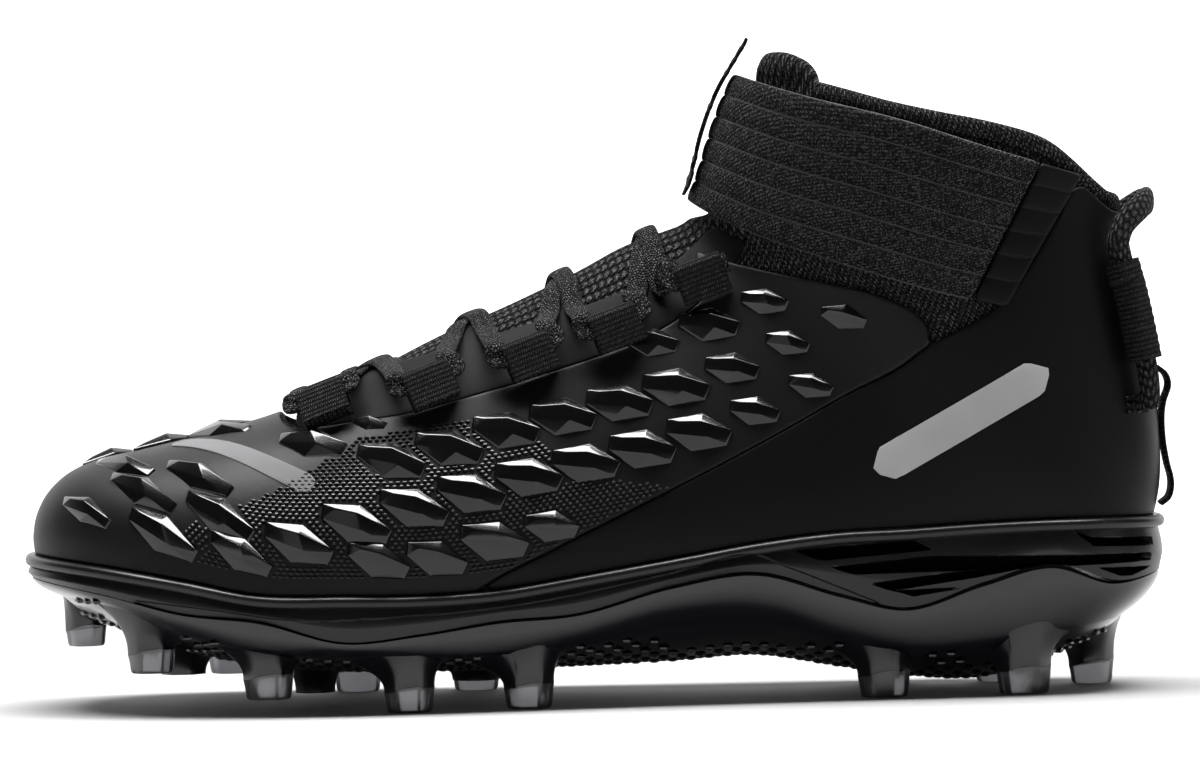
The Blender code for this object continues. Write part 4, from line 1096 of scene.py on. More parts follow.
def cut_panel(form: LastForm, outline: np.ndarray, limit: Measure | None = None) -> Patch:
    """The part of the form inside a side-view outline, marked with the distance to its edge.

    Args:
        form: the last form.
        outline: the panel's outline in side view.
        limit: a further distance at the points, above zero where the panel is kept.

    Returns:
        The trimmed patch, with the mark "edge".
    """
    patch = Patch.from_form(form)
    distance = outline_distance(patch.points[:, [0, 2]], outline)
    if limit is not None:
        distance = np.minimum(distance, limit(patch.points))
    patch.mark("edge", distance)
    patch.trim("edge")
    return patch


@dataclass
class UpperParts:
    """The knit upper, its rolled collar and the smooth shell over the heel."""

    form: LastForm
    collar_round: float = 0.0021
    collar_swell: float = 0.0012
    quarter_round: float = 0.0006
    lining_rise: float = 0.0118
    lining_peak: float = 0.0045
    lining_lean: float = 0.26
    lining_faces: Point2 = (0.00085, 0.00035)
    lining_round: float = 0.0004

    def lining(self, felt: Material) -> None:
        """The smooth lining that shows above the throat's edges, rising between the loops."""
        throat = side_line(THROAT_LINE)
        start, end = along(0.240), along(0.640)
        throat = throat[(throat[:, 0] > start) & (throat[:, 0] < end)]
        x = throat[:, 0]
        holes = np.array([along(share) for share, _ in LOOPS])
        away = np.min(np.abs(throat[:, :1] - holes[None, :]), axis=1)
        rise = self.lining_rise + self.lining_peak * smoothstep(away, 0.0062, 0.0120)
        rise *= smoothstep(x, along(0.238), along(0.262)) * smoothstep(-x, -end, -along(0.618))
        high = throat + np.column_stack([-self.lining_lean * rise, rise])
        patch = cut_panel(self.form, closed(throat - np.array([0.0, 0.0012]), high[::-1]))
        sink = patch.rounded("edge", self.lining_round)
        outer, inner = self.lining_faces
        patch.shell(outer - sink, inner - sink * 0.5).place("throat_lining", felt, "film")

    def upper(self, knit: Material) -> None:
        """The knit wall, open at throat, collar and underneath."""
        collar = side_line(COLLAR_LINE, drop=BINDING_HEIGHT)
        throat = side_line(THROAT_LINE)
        outline = closed(bite_curve(), collar[::-1], throat[::-1], [(along(-0.05), throat[0][1])])
        patch = cut_panel(self.form, outline)
        patch.shell(0.0, -UPPER_WALL).place("knit_upper", knit, "knit", ["upper"])

    def collar(self, knit: Material) -> None:
        """The rolled edge on the collar."""
        rim = side_line(COLLAR_LINE)
        patch = cut_panel(self.form, closed(rim - np.array([0, BINDING_HEIGHT - GAP]), rim[::-1]))
        sink = patch.rounded("edge", self.collar_round)
        wall = patch.shell(self.collar_swell - sink, -UPPER_WALL - self.collar_swell + sink * 0.8)
        wall.place("rolled_collar", knit, "knit", ["collar_binding"])

    def quarter(self, satin: Material) -> None:
        """The shell round the heel and both sides, with a rounded edge."""
        front = side_line(QUARTER_FRONT)
        rim = side_line(COLLAR_LINE, drop=BINDING_HEIGHT)
        rim = rim[rim[:, 0] > front[-1][0] + 0.002]
        bite = bite_curve(-0.00005)
        bite = bite[bite[:, 0] > front[4][0]]
        outline = closed(bite, rim[::-1], front[::-1])
        outline = outline[outline[:, 1] >= SOLE.height(outline[:, 0], "bite")]
        patch = cut_panel(self.form, outline)
        sink = patch.rounded("edge", self.quarter_round)
        patch.shell(GAP + QUARTER_WALL - sink, GAP).place("heel_shell", satin, "quarter", ["heel_quarter"])


@dataclass
class Vamp:
    """The moulded film over the forefoot and its gem-like lugs."""

    form: LastForm
    length: float = 0.0186
    width: float = 0.0118
    rise: float = 0.0029
    bevel: float = 0.00026
    pitch: float = 0.0147
    shift: float = -0.0055
    row_gap: float = 0.0140
    low_climb: float = 0.0056
    edge_round: float = 0.0007
    bead_pitch: Point2 = (0.00172, 0.00104)
    bead_size: Point3 = (0.00076, 0.00043, 0.00050)
    bead_clear: float = 0.00040
    bead_run: float = 0.150
    bead_rows: int = 48
    tables: dict[Side, tuple[np.ndarray, np.ndarray, np.ndarray]] = field(default_factory=dict)

    def film(self) -> Solid:
        """The film itself, marked where it carries beads."""
        throat = side_line(THROAT_LINE, drop=0.0015)
        throat = throat[throat[:, 0] < along(0.600)]
        front = side_line(QUARTER_FRONT) - np.array([0.0004, 0.0])
        front = front[front[:, 1] < SKIN_REAR[0][1] * FORM_HEIGHT]
        front = front[front[:, 1] > SOLE.height(front[:, 0], "bite") + 0.0003]
        bite = bite_curve(-0.00005)
        bite = bite[bite[:, 0] < front[0][0]]
        outline = closed(bite, front, side_line(SKIN_REAR), throat[::-1], [(along(-0.05), throat[0][1])])
        patch = cut_panel(self.form, outline)
        sink = patch.rounded("edge", self.edge_round)
        x, z = patch.points[:, 0], patch.points[:, 2]
        low = SOLE.height(x, "bite")
        under_top = smoothstep(low + self.bead_height(x) - z, 0.0, 0.0015)
        patch.mark("bead", under_top * smoothstep(z - low, 0.0004, 0.0014))
        return patch.shell(GAP + SKIN_WALL - sink, GAP)

    @staticmethod
    def bead_height(x: np.ndarray | float) -> np.ndarray:
        """How far above the lip the beads reach at x."""
        return np.interp(x, *zip(*BEAD_TOP))

    def bead(self) -> tuple[np.ndarray, list[tuple[int, ...]]]:
        """One bead as a flat template: points as ahead, up and height in metres, and its faces."""
        long, high, rise = self.bead_size
        ring = [(math.cos(a) * long, math.sin(a) * high) for a in np.linspace(0, 2 * math.pi, 9)[:-1]]
        foot = [(a, b, -0.0002) for a, b in ring]
        shoulder = [(a * 0.8, b * 0.8, rise * 0.62) for a, b in ring]
        dome = [(8 + k, 8 + (k + 1) % 8, 16) for k in range(8)]
        faces = tube_faces(2, 8) + dome + [tuple(range(7, -1, -1))]
        return np.array(foot + shoulder + [(0.0, 0.0, rise)]), faces

    def is_bare(self, x: float, climb: float, lugs: Sequence[Point3]) -> bool:
        """Whether a place on the film is clear of the lugs."""
        corners = np.array(LUG_HEXAGON) * (self.length, self.width)
        for lug_x, lug_climb, size in lugs:
            if abs(lug_x - x) < 0.011 and abs(lug_climb - climb) < 0.008:
                place = np.array([((x - lug_x) / size, (climb - lug_climb) / size)])
                if outline_distance(place, corners)[0] > -self.bead_clear:
                    return False
        return True

    def beads(self) -> Solid:
        """The rows of small raised beads between the lugs."""
        pitch, gap = self.bead_pitch
        template, turn = self.bead()
        points, rows = [], []
        for side in Side:
            lugs = self.places(side)
            for i in range(int(self.bead_run / pitch)):
                for j in range(self.bead_rows):
                    x = along(0.092) + (i + 0.5 * (j % 2)) * pitch
                    climb = 0.0014 + j * gap
                    if not self.is_bare(x, climb, lugs):
                        continue
                    point, normal = self.drape(x, climb, side)
                    low = float(SOLE.height(point.x, "bite"))
                    high = low + float(self.bead_height(point.x))
                    if not low + 0.0010 < point.z < high or self.gaps(point)[1] < 0.0011:
                        continue
                    ahead = (self.drape(x + 0.001, climb, side)[0] - point).normalized()
                    up = normal.cross(ahead) * (1 if normal.cross(ahead).z > 0 else -1)
                    start = len(points)
                    base = point + normal * (GAP + SKIN_WALL)
                    for a, b, h in template.tolist():
                        points.append(tuple(base + ahead * a + up * b + normal * h))
                    rows += [[k + start for k in face] for face in turn]
        count = len(points)
        return Solid(np.array(points), rows, np.zeros((count, 2)), {"lug": np.full(count, 0.27)})

    def table(self, side: Side) -> tuple[np.ndarray, np.ndarray, np.ndarray]:
        """Stations along the shoe, angles, and the climb up the side at each angle."""
        if side not in self.tables:
            stations = np.linspace(along(0.010), along(0.82), 110)
            angles = np.radians(np.arange(102.0, -0.1, -3.0))
            rows = []
            for x in stations:
                points = [self.form.girth_point(float(x), -side.value * a)[0] for a in angles]
                steps = [(b - a).length for a, b in zip(points, points[1:])]
                rows.append(np.concatenate([[0], np.cumsum(steps)]))
            start = np.radians(100.0)
            rows = [row - np.interp(-start, -angles, row) for row in rows]
            self.tables[side] = (stations, angles, np.array(rows))
        return self.tables[side]

    def reach(self, x: float, side: Side) -> float:
        """The climb from the lip to the ridge at x."""
        stations, angles, climbs = self.table(side)
        return float(np.interp(x, stations, climbs[:, -1]))

    def drape(self, x: float, climb: float, side: Side) -> tuple[Vector, Vector]:
        """A point on the form's side.

        Args:
            x: the place along the shoe.
            climb: the length up the side from the lip.
            side: the side of the shoe.

        Returns:
            The point and its outward normal.
        """
        stations, angles, climbs = self.table(side)
        x = min(max(x, float(stations[0])), float(stations[-1]))
        at = (x - stations[0]) / (stations[1] - stations[0])
        i = min(int(at), len(stations) - 2)
        row = climbs[i] * (1 - (at - i)) + climbs[i + 1] * (at - i)
        return self.form.girth_point(x, -side.value * float(np.interp(climb, row, angles)))

    def gaps(self, point: Vector) -> Point3:
        """A point's distances inside the film to the throat, the quarter and the rear edge, in side view."""
        throat, front, rear = (side_line(line, 2) for line in (THROAT_LINE, QUARTER_FRONT, SKIN_REAR))
        below = float(np.interp(point.x, throat[:, 0], throat[:, 1])) - point.z
        if point.x < throat[2][0]:
            below = math.dist((point.x, point.z), throat[2]) - 0.0062
        ahead = float(np.interp(point.z, front[:, 1], front[:, 0])) - point.x
        under = 1.0
        if point.z > rear[0][1] or point.x > rear[-1][0]:
            under = float(np.min(np.hypot(rear[:, 0] - point.x, rear[:, 1] - point.z)))
            if point.z > float(np.interp(point.x, rear[::-1, 0], rear[::-1, 1])):
                under = -under
        return below * 1.8, ahead * 0.54, under

    def places(self, side: Side) -> list[Point3]:
        """The x, climb and size of every lug on one side."""
        starts, climbs = (np.array(column) for column in zip(*LUG_ROW))
        fade_at, fade = zip(*LUG_FADE)
        found = []
        for row in range(-3, 5):
            for column in range(-12, 6):
                x = along(LUG_START) + column * self.pitch + row * self.shift
                share = x / SHOE_LENGTH + 0.5
                climb = float(np.interp(share, starts, climbs)) * FORM_HEIGHT + row * self.row_gap
                if not LUG_ROW[0][0] < share < LUG_ROW[-1][0]:
                    continue
                if side is Side.OUTER and self.in_toe_band(share, climb):
                    continue
                if not 0.0015 < climb < self.reach(x, side) - self.width * 0.50:
                    continue
                trimmed = 0.88 if climb < self.low_climb else 1.0
                climb = max(climb, self.low_climb)
                room = min(self.gaps(self.drape(x, climb, side)[0])) / 0.0090
                size = min(1.0, room, trimmed, float(np.interp(share, fade_at, fade)))
                if size > 0.40:
                    found.append((x, climb, size))
        return found

    @staticmethod
    def in_toe_band(share: float, climb: float) -> bool:
        """Whether a place on the vamp lies in the bare band over the toe."""
        (ax, ay), (bx, by) = ((x * SHOE_LENGTH, y * FORM_HEIGHT) for x, y in TOE_BAND)
        px, py = share * SHOE_LENGTH - ax, climb - ay
        t = min(1.0, max(0.0, (px * (bx - ax) + py * (by - ay)) / ((bx - ax) ** 2 + (by - ay) ** 2)))
        return math.hypot(px - t * (bx - ax), py - t * (by - ay)) < TOE_BAND_REACH

    def gem(self) -> tuple[np.ndarray, list[list[int]]]:
        """The lug as a flat template: points as ahead, up and height in metres, and its faces, bevelled."""
        foot = [(a, b, 0.0) for a, b in LUG_HEXAGON]
        top = [(a * 0.955, b * 0.93, h) for (a, b), h in zip(LUG_HEXAGON, LUG_WALLS)]
        points = foot + top + list(LUG_CREST)
        faces = [*tube_faces(2, 6), *LUG_FACETS]
        bm = bmesh.new()
        corners = [bm.verts.new((a * self.length, b * self.width, h * self.rise)) for a, b, h in points]
        for face in faces:
            bm.faces.new([corners[i] for i in face])
        edges = [e for e in bm.edges if not e.is_boundary]
        bmesh.ops.bevel(
            bm, geom=edges, offset=self.bevel, segments=2, profile=0.6, affect="EDGES", clamp_overlap=True
        )
        bmesh.ops.triangulate(bm, faces=[f for f in bm.faces if len(f.verts) > 4])
        bm.verts.index_update()
        made = np.array([tuple(v.co) for v in bm.verts])
        rows = [[v.index for v in f.verts] for f in bm.faces]
        skirt = [(e.verts[0].index, e.verts[1].index) for e in bm.edges if e.is_boundary]
        bm.free()
        order = sorted({corner for edge in skirt for corner in edge})
        lowered = made[order] - np.array([0, 0, SKIN_WALL * 0.5])
        below = {corner: len(made) + i for i, corner in enumerate(order)}
        middle = len(made) + len(order)
        rows += [[a, b, below[b], below[a]] for a, b in skirt]
        rows += [[below[b], below[a], middle] for a, b in skirt]
        return np.vstack([made, lowered, lowered.mean(axis=0, keepdims=True)]), rows

    def lugs(self) -> Solid:
        """Every lug, draped over the film."""
        template, faces = self.gem()
        points, rows = [], []
        for side in Side:
            for x, climb, size in self.places(side):
                start = len(points)
                for ahead, up, height in template * size:
                    point, normal = self.drape(x + ahead, climb + up, side)
                    points.append(tuple(point + normal * (GAP + SKIN_WALL * 0.9 + height)))
                rows += [[i + start for i in face] for face in faces]
        count = len(points)
        return Solid(np.array(points), rows, np.zeros((count, 2)), {"lug": np.ones(count)})

    def build(self, finish: Material) -> None:
        """Film, lugs and beads, as one piece."""
        self.film().add(self.lugs()).add(self.beads()).place("vamp_film", finish, "film", ["vamp_skin"], 24.0)


@dataclass
class Badges:
    """Plain pale badges on the toe and on both sides of the heel."""

    vamp: Vamp
    form: LastForm
    half_width: float = 0.0029
    centre: Point2 = (0.0950, 0.0715)
    half_length: float = 0.0265
    half_height: float = 0.0046
    slope: float = math.radians(29)

    def toe(self, pale: Material) -> None:
        """The bar across the toe."""
        (ax, ay), (bx, by) = TOE_BAND
        route = []
        for t in np.linspace(0.04, 0.92, 12):
            x, climb = along(ax + (bx - ax) * float(t)), (ay + (by - ay) * float(t)) * FORM_HEIGHT
            route.append(tuple(self.vamp.drape(x, climb, Side.OUTER)[0]))

        def limit(points: np.ndarray) -> np.ndarray:
            """How far points lie inside the bar."""
            best = np.full(len(points), 1e9)
            for a, b in zip(np.array(route), np.array(route)[1:]):
                edge = b - a
                t = np.clip((points - a) @ edge / (edge @ edge), 0.0, 1.0)
                best = np.minimum(best, np.linalg.norm(points - a - t[:, None] * edge, axis=1))
            return self.half_width - best

        box = np.array([(-0.15, 0.03), (-0.05, 0.03), (-0.05, 0.09), (-0.15, 0.09)])
        patch = cut_panel(self.form, box, limit)
        sink = patch.rounded("edge", 0.00025)
        rest = GAP + SKIN_WALL
        patch.shell(rest + 0.0003 - sink, rest - 0.0002).place("toe_badge", pale, "film")

    def heel(self, pale: Material) -> None:
        """The slanted hexagon on each side of the heel."""
        length, height = self.half_length, self.half_height
        flat = length - height
        corners = np.array(
            [(-length, 0), (-flat, -height), (flat, -height), (length, 0), (flat, height), (-flat, height)]
        )
        c, s = math.cos(self.slope), math.sin(self.slope)
        outline = corners @ np.array([[c, s], [-s, c]]) + np.array(self.centre)
        rest = GAP + QUARTER_WALL
        for side in Side:
            patch = cut_panel(self.form, outline, on_side(side))
            sink = patch.rounded("edge", 0.00022)
            badge = patch.shell(rest + 0.00028 - sink, rest - 0.0002)
            badge.place(f"heel_badge_{side.word}", pale, "quarter")


@dataclass
class Tongue:
    """The padded front of the bootie, under the throat's edges and up over the collar."""

    form: LastForm
    round_edge: float = 0.0019
    pad_lift: float = 0.0003
    roll_depth: float = 0.0010
    fill: float = 0.5

    def build(self, knit: Material) -> None:
        """The tongue, full at the throat and rolled over at its top."""
        tuck = -UPPER_WALL - GAP * 2.5
        low = side_line(THROAT_LINE, 3) + np.array([0.005, -0.010])
        low[0] += np.array([-0.012, 0.006])
        low = low[low[:, 0] < along(TONGUE_TOP[-1][0])]
        outline = closed(low, side_line(TONGUE_TOP)[::-1], [(along(0.15), 0.150), (low[0][0], 0.120)])
        patch = cut_panel(self.form, outline)
        sink = patch.rounded("edge", self.round_edge)
        x, z = patch.points[:, 0], patch.points[:, 2]
        roll = smoothstep(z, 0.1595, 0.1655) * smoothstep(0.058 - x, 0.0, 0.008)
        throat = side_line(THROAT_LINE)
        above = z - np.interp(x, throat[:, 0], throat[:, 1])
        lift = smoothstep(above, 0.0006, 0.0042) * smoothstep(x, -0.083, -0.074)
        lift *= smoothstep(0.1285 - z, 0.0, 0.004)
        outer = tuck + (-self.roll_depth - tuck) * roll + (self.pad_lift - tuck) * lift * (1 - roll)
        solid = patch.shell(outer - sink, tuck - TONGUE_WALL + sink * 0.7)
        obj = solid.place("tongue_pad", knit, "knit", ["tongue"])


@dataclass
class Strap:
    """The elastic ankle strap in sewn bands, its welded tabs and the webbing up its front."""

    form: LastForm
    bands: int = 6
    swell: float = 0.0007
    tab_swell: float = 0.00035
    rest: float = 2 * GAP + QUARTER_WALL
    keeper_ends: Point2 = (0.1312, 0.1688)

    def edges(self, start: float, end: float) -> tuple[np.ndarray, np.ndarray]:
        """The strap's top and bottom lines between two shares of its length."""
        lines = []
        steps = np.linspace(start, end, 40)
        for table in (STRAP_TOP, STRAP_BOTTOM):
            line = side_line(table, 8)
            place = np.linspace(0, 1, len(line))
            lines.append(np.column_stack([np.interp(steps, place, column) for column in line.T]))
        return lines[0], lines[1]

    def climb(self, points: np.ndarray) -> np.ndarray:
        """Where points lie between the strap's bottom line, 0, and its top line, 1, in side view."""
        top, bottom = self.edges(0.0, 1.0)
        above = [(0.2, top[-1][1]), (0.2, 0.4), (-0.2, 0.4), (-0.2, top[0][1])]
        below = [(0.2, bottom[-1][1]), (0.2, -0.2), (-0.2, -0.2), (-0.2, bottom[0][1])]
        to_top = outline_distance(points[:, [0, 2]], closed(top, above))
        to_bottom = outline_distance(points[:, [0, 2]], closed(bottom, below))
        low, high = np.maximum(-to_bottom, 0), np.maximum(-to_top, 0)
        return low / np.maximum(low + high, 1e-9)

    def panel(
        self, start: float, end: float, height: float, swell: float, limit: Measure | None = None
    ) -> Solid:
        """A run of the strap, swelling between its seams.

        Args:
            start: the share of the strap's length where it starts.
            end: the share where it ends.
            height: its thickness between the seams.
            swell: how much of that the seams draw in.
            limit: a further distance at the points, above zero where the strap is kept.

        Returns:
            The run.
        """
        top, bottom = self.edges(start, end)
        patch = cut_panel(self.form, closed(top, bottom[::-1]), limit)
        climb = self.climb(patch.points)
        patch.mark("climb", climb)
        for i in range(self.bands + 1):
            for shift in (-0.20, -0.09, -0.035, 0.0, 0.035, 0.09, 0.20, 0.5):
                patch.split("climb", (i + shift) / self.bands)
        sink = patch.rounded("edge", 0.0008)
        phase = patch.value("climb") * self.bands
        puff = np.abs(np.sin(math.pi * phase)) ** 0.38
        return patch.shell(self.rest + height - swell + swell * puff - sink, self.rest)

    def build(self, elastic: Material, satin: Material, webbing: Material) -> None:
        """The strap, both tabs and the keeper."""
        start = 1 - TAB_SHARE
        band = self.panel(0.0, start - 0.004, STRAP_WALL + 0.0003, self.swell)
        band.place("elastic_strap", elastic, "strap", ["ankle_strap"])
        for side in Side:
            tab = self.panel(start, 1.0, TAB_WALL, self.tab_swell, on_side(side))
            tab.place(f"welded_tab_{side.word}", satin, "film", [f"strap_tab_{side.word}"])
        self.keeper(webbing)

    def keeper(self, webbing: Material) -> None:
        """The webbing up the front of the strap."""
        rest = GAP * 3 + QUARTER_WALL + STRAP_WALL
        low, high = self.keeper_ends
        points, normals = [], []
        for z in np.linspace(low, high, 24):
            hit = self.form.tree.ray_cast(Vector((-0.2, 0.0, float(z))), Vector((1, 0, 0)))
            normal = hit[1] if hit[1].x < 0 else -hit[1]
            bow = 0.0009 * math.sin(math.pi * (float(z) - low) / (high - low))
            points.append(hit[0] + normal * (rest + 0.0009 + bow))
            normals.append(normal)
        solid = sweep(points, normals, oval(16, 6.0), lambda t: (KEEPER_WIDTH, WEBBING))
        solid.place("strap_keeper_band", webbing, "webbing", ["strap_keeper"])


@dataclass
class Lacing:
    """The webbing loops along the throat and the lace through them."""

    form: LastForm
    width: float = 0.0130
    reach: float = 0.0105
    lean: float = math.radians(24)
    lace_width: float = 0.0054
    lace_thickness: float = 0.0021
    slope: float = 0.36
    angle: float = math.radians(42)
    lift: float = 0.0011
    lace_squeeze: float = 0.0006
    ports: dict[Side, list[Port]] = field(default_factory=lambda: {side: [] for side in Side})

    def axes(self, x: float, z: float, side: Side) -> Port:
        """A point of the throat's edge, its outward normal, and the directions along and up the edge."""
        point, normal = self.form.side_point(x, z, side)
        ahead = self.form.side_point(x + 0.004, z + 0.004 * self.slope, side)[0]
        run = (ahead - point).normalized()
        up = normal.cross(run)
        return point, normal, run, (up if up.z > 0 else -up).normalized()

    def loop(self, share_x: float, share_z: float, side: Side) -> Solid:
        """One loop: webbing folded over the lace and sewn at its foot.

        Args:
            share_x: its place as a share of SHOE_LENGTH.
            share_z: its height as a share of FORM_HEIGHT.
            side: the side of the shoe.

        Returns:
            The loop. Where the lace passes it is kept in ports.
        """
        point, normal, run, up = self.axes(along(share_x), share_z * FORM_HEIGHT, side)
        lift = (up * math.cos(self.lean) + normal * math.sin(self.lean)).normalized()
        out = (normal * math.cos(self.lean) - up * math.sin(self.lean)).normalized()
        thick = LACE_THICKNESS + 2.6 * WEBBING
        base = point + out * (GAP * 2 + SKIN_WALL + 0.0002)
        middle = base + out * thick / 2
        half, bend = WEBBING / 2, (thick - WEBBING) / 2
        waist, crown = self.reach * 0.35, self.reach - bend - half
        path = [(half, 0.0), (half, waist), (half, crown)]
        for a in np.linspace(0, math.pi, 9)[1:-1]:
            path.append((half + bend - bend * math.cos(a), crown + bend * math.sin(a)))
        path += [(thick - half, crown), (thick - half, waist), (thick - half, 0.0)]
        port = middle + lift * (self.reach - WEBBING - LACE_WIDTH * 0.4 - 2 * GAP)
        self.ports[side].append((port, run, out, lift))
        points, normals = [], []
        for i, (a, b) in enumerate(path):
            before, after = path[max(i - 1, 0)], path[min(i + 1, len(path) - 1)]
            step = Vector((after[0] - before[0], after[1] - before[1])).normalized()
            points.append(base + out * a + lift * b)
            normals.append(out * -step.y + lift * step.x)
        points, normals = smooth_path(points, normals, 3)
        foot = sweep(points, normals, oval(20, 5.0), lambda t: (self.width, WEBBING))
        seam = [middle + lift * 0.0009 + run * s for s in (-self.width * 0.47, 0.0, self.width * 0.47)]
        bar = sweep(seam, [out] * 3, oval(12, 4.0), lambda t: (0.0022, thick - 0.0003))
        return foot.add(bar)

    def over_tongue(self, share: float, x: float, clear: float) -> tuple[Vector, Vector]:
        """A point over the tongue.

        Args:
            share: the share of the way from the outer loops to the inner.
            x: the place along the shoe.
            clear: the height over the form.

        Returns:
            The point and its outward normal.
        """
        angle = (0.5 - share) * 2 * self.angle
        direction = Vector((0, -math.sin(angle), math.cos(angle)))
        hit = self.form.tree.ray_cast(Vector((x, 0, float(SOLE.height(x, "bite")) + 0.030)), direction)
        normal = hit[1] if hit[1].dot(direction) > 0 else -hit[1]
        return hit[0] + normal * clear, normal

    def end(self, port: Port, way: int) -> Route:
        """Where the lace comes out of a loop and turns over the tongue.

        Args:
            port: the loop's port.
            way: the end of the loop, -1 for the one towards the toe and +1 for the other.

        Returns:
            The lace's points, and its normals there.
        """
        centre, run, out, lift = port
        edge = centre + run * way * (self.width / 2 + GAP)
        inward = (lift - out * 0.35).normalized()
        turn = edge + run * way * 0.0013 + inward * 0.0014
        over = edge + run * way * 0.0004 + inward * 0.0050
        leaning, flat = (out * 2 + lift).normalized(), (out * 3 + lift).normalized()
        return [centre, edge, turn, over], [out, leaning, flat, flat]

    def run(self, start: Side, end: Side, rows: Pair, ways: Pair, clear: float) -> Solid:
        """One lace over the tongue, from one loop to another.

        Args:
            start: the side where it starts.
            end: the side where it ends.
            rows: the rows of the two loops.
            ways: the end of each loop that it uses.
            clear: its height over the form.

        Returns:
            The lace.
        """
        points, normals = self.end(self.ports[start][rows[0]], ways[0])
        last, last_normals = self.end(self.ports[end][rows[1]], ways[1])
        a, b = points[-1], last[-1]
        for t in (0.22, 0.36, 0.5, 0.64, 0.78):
            middle = math.exp(-(((t - 0.5) / 0.16) ** 2))
            high = clear + 0.0010 * (1 - middle) + (0.0015 * middle if start is Side.INNER else 0.0)
            share = 0.5 + math.copysign(abs(2 * t - 1) ** 0.68, t - 0.5) / 2
            point, normal = self.over_tongue(t if a.y < b.y else 1 - t, a.x + (b.x - a.x) * share, high)
            points.append(point)
            normals.append(normal)
        path = smooth_path(points + last[::-1], normals + last_normals[::-1], 8)

        def size(t: float) -> Point2:
            """The lace's width and thickness, thinner where two cross."""
            squeeze = self.lace_squeeze * math.exp(-(((t - 0.5) / 0.2) ** 2))
            return self.lace_width, self.lace_thickness - squeeze

        return sweep(*path, oval(16, 2.6), size)

    def build(self, webbing: Material, lace: Material) -> None:
        """Ten loops and the lace."""
        for side in Side:
            for i, (x, z) in enumerate(LOOPS):
                which = f"{side.word}_{i + 1}"
                loop = self.loop(x, z, side)
                loop.place(f"webbing_loop_{which}", webbing, "webbing", [f"lace_loop_{which}"])
        solid = self.run(Side.OUTER, Side.INNER, (0, 0), (-1, -1), 2 * self.lift)
        for row in range(len(LOOPS) - 1):
            for side in Side:
                solid = solid.add(self.run(side, side.opposite, (row, row + 1), (1, -1), self.lift))
        for side in Side:
            centre, run, out, _ = self.ports[side][-1]
            ends = [centre - run * 0.0077, centre, centre + run * 0.0077]
            stub = sweep(ends, [out] * 3, oval(16, 2.6), lambda t: (self.lace_width, self.lace_thickness))
            solid = solid.add(stub)
        solid.place("lace_cord", lace, "lace", ["laces"])


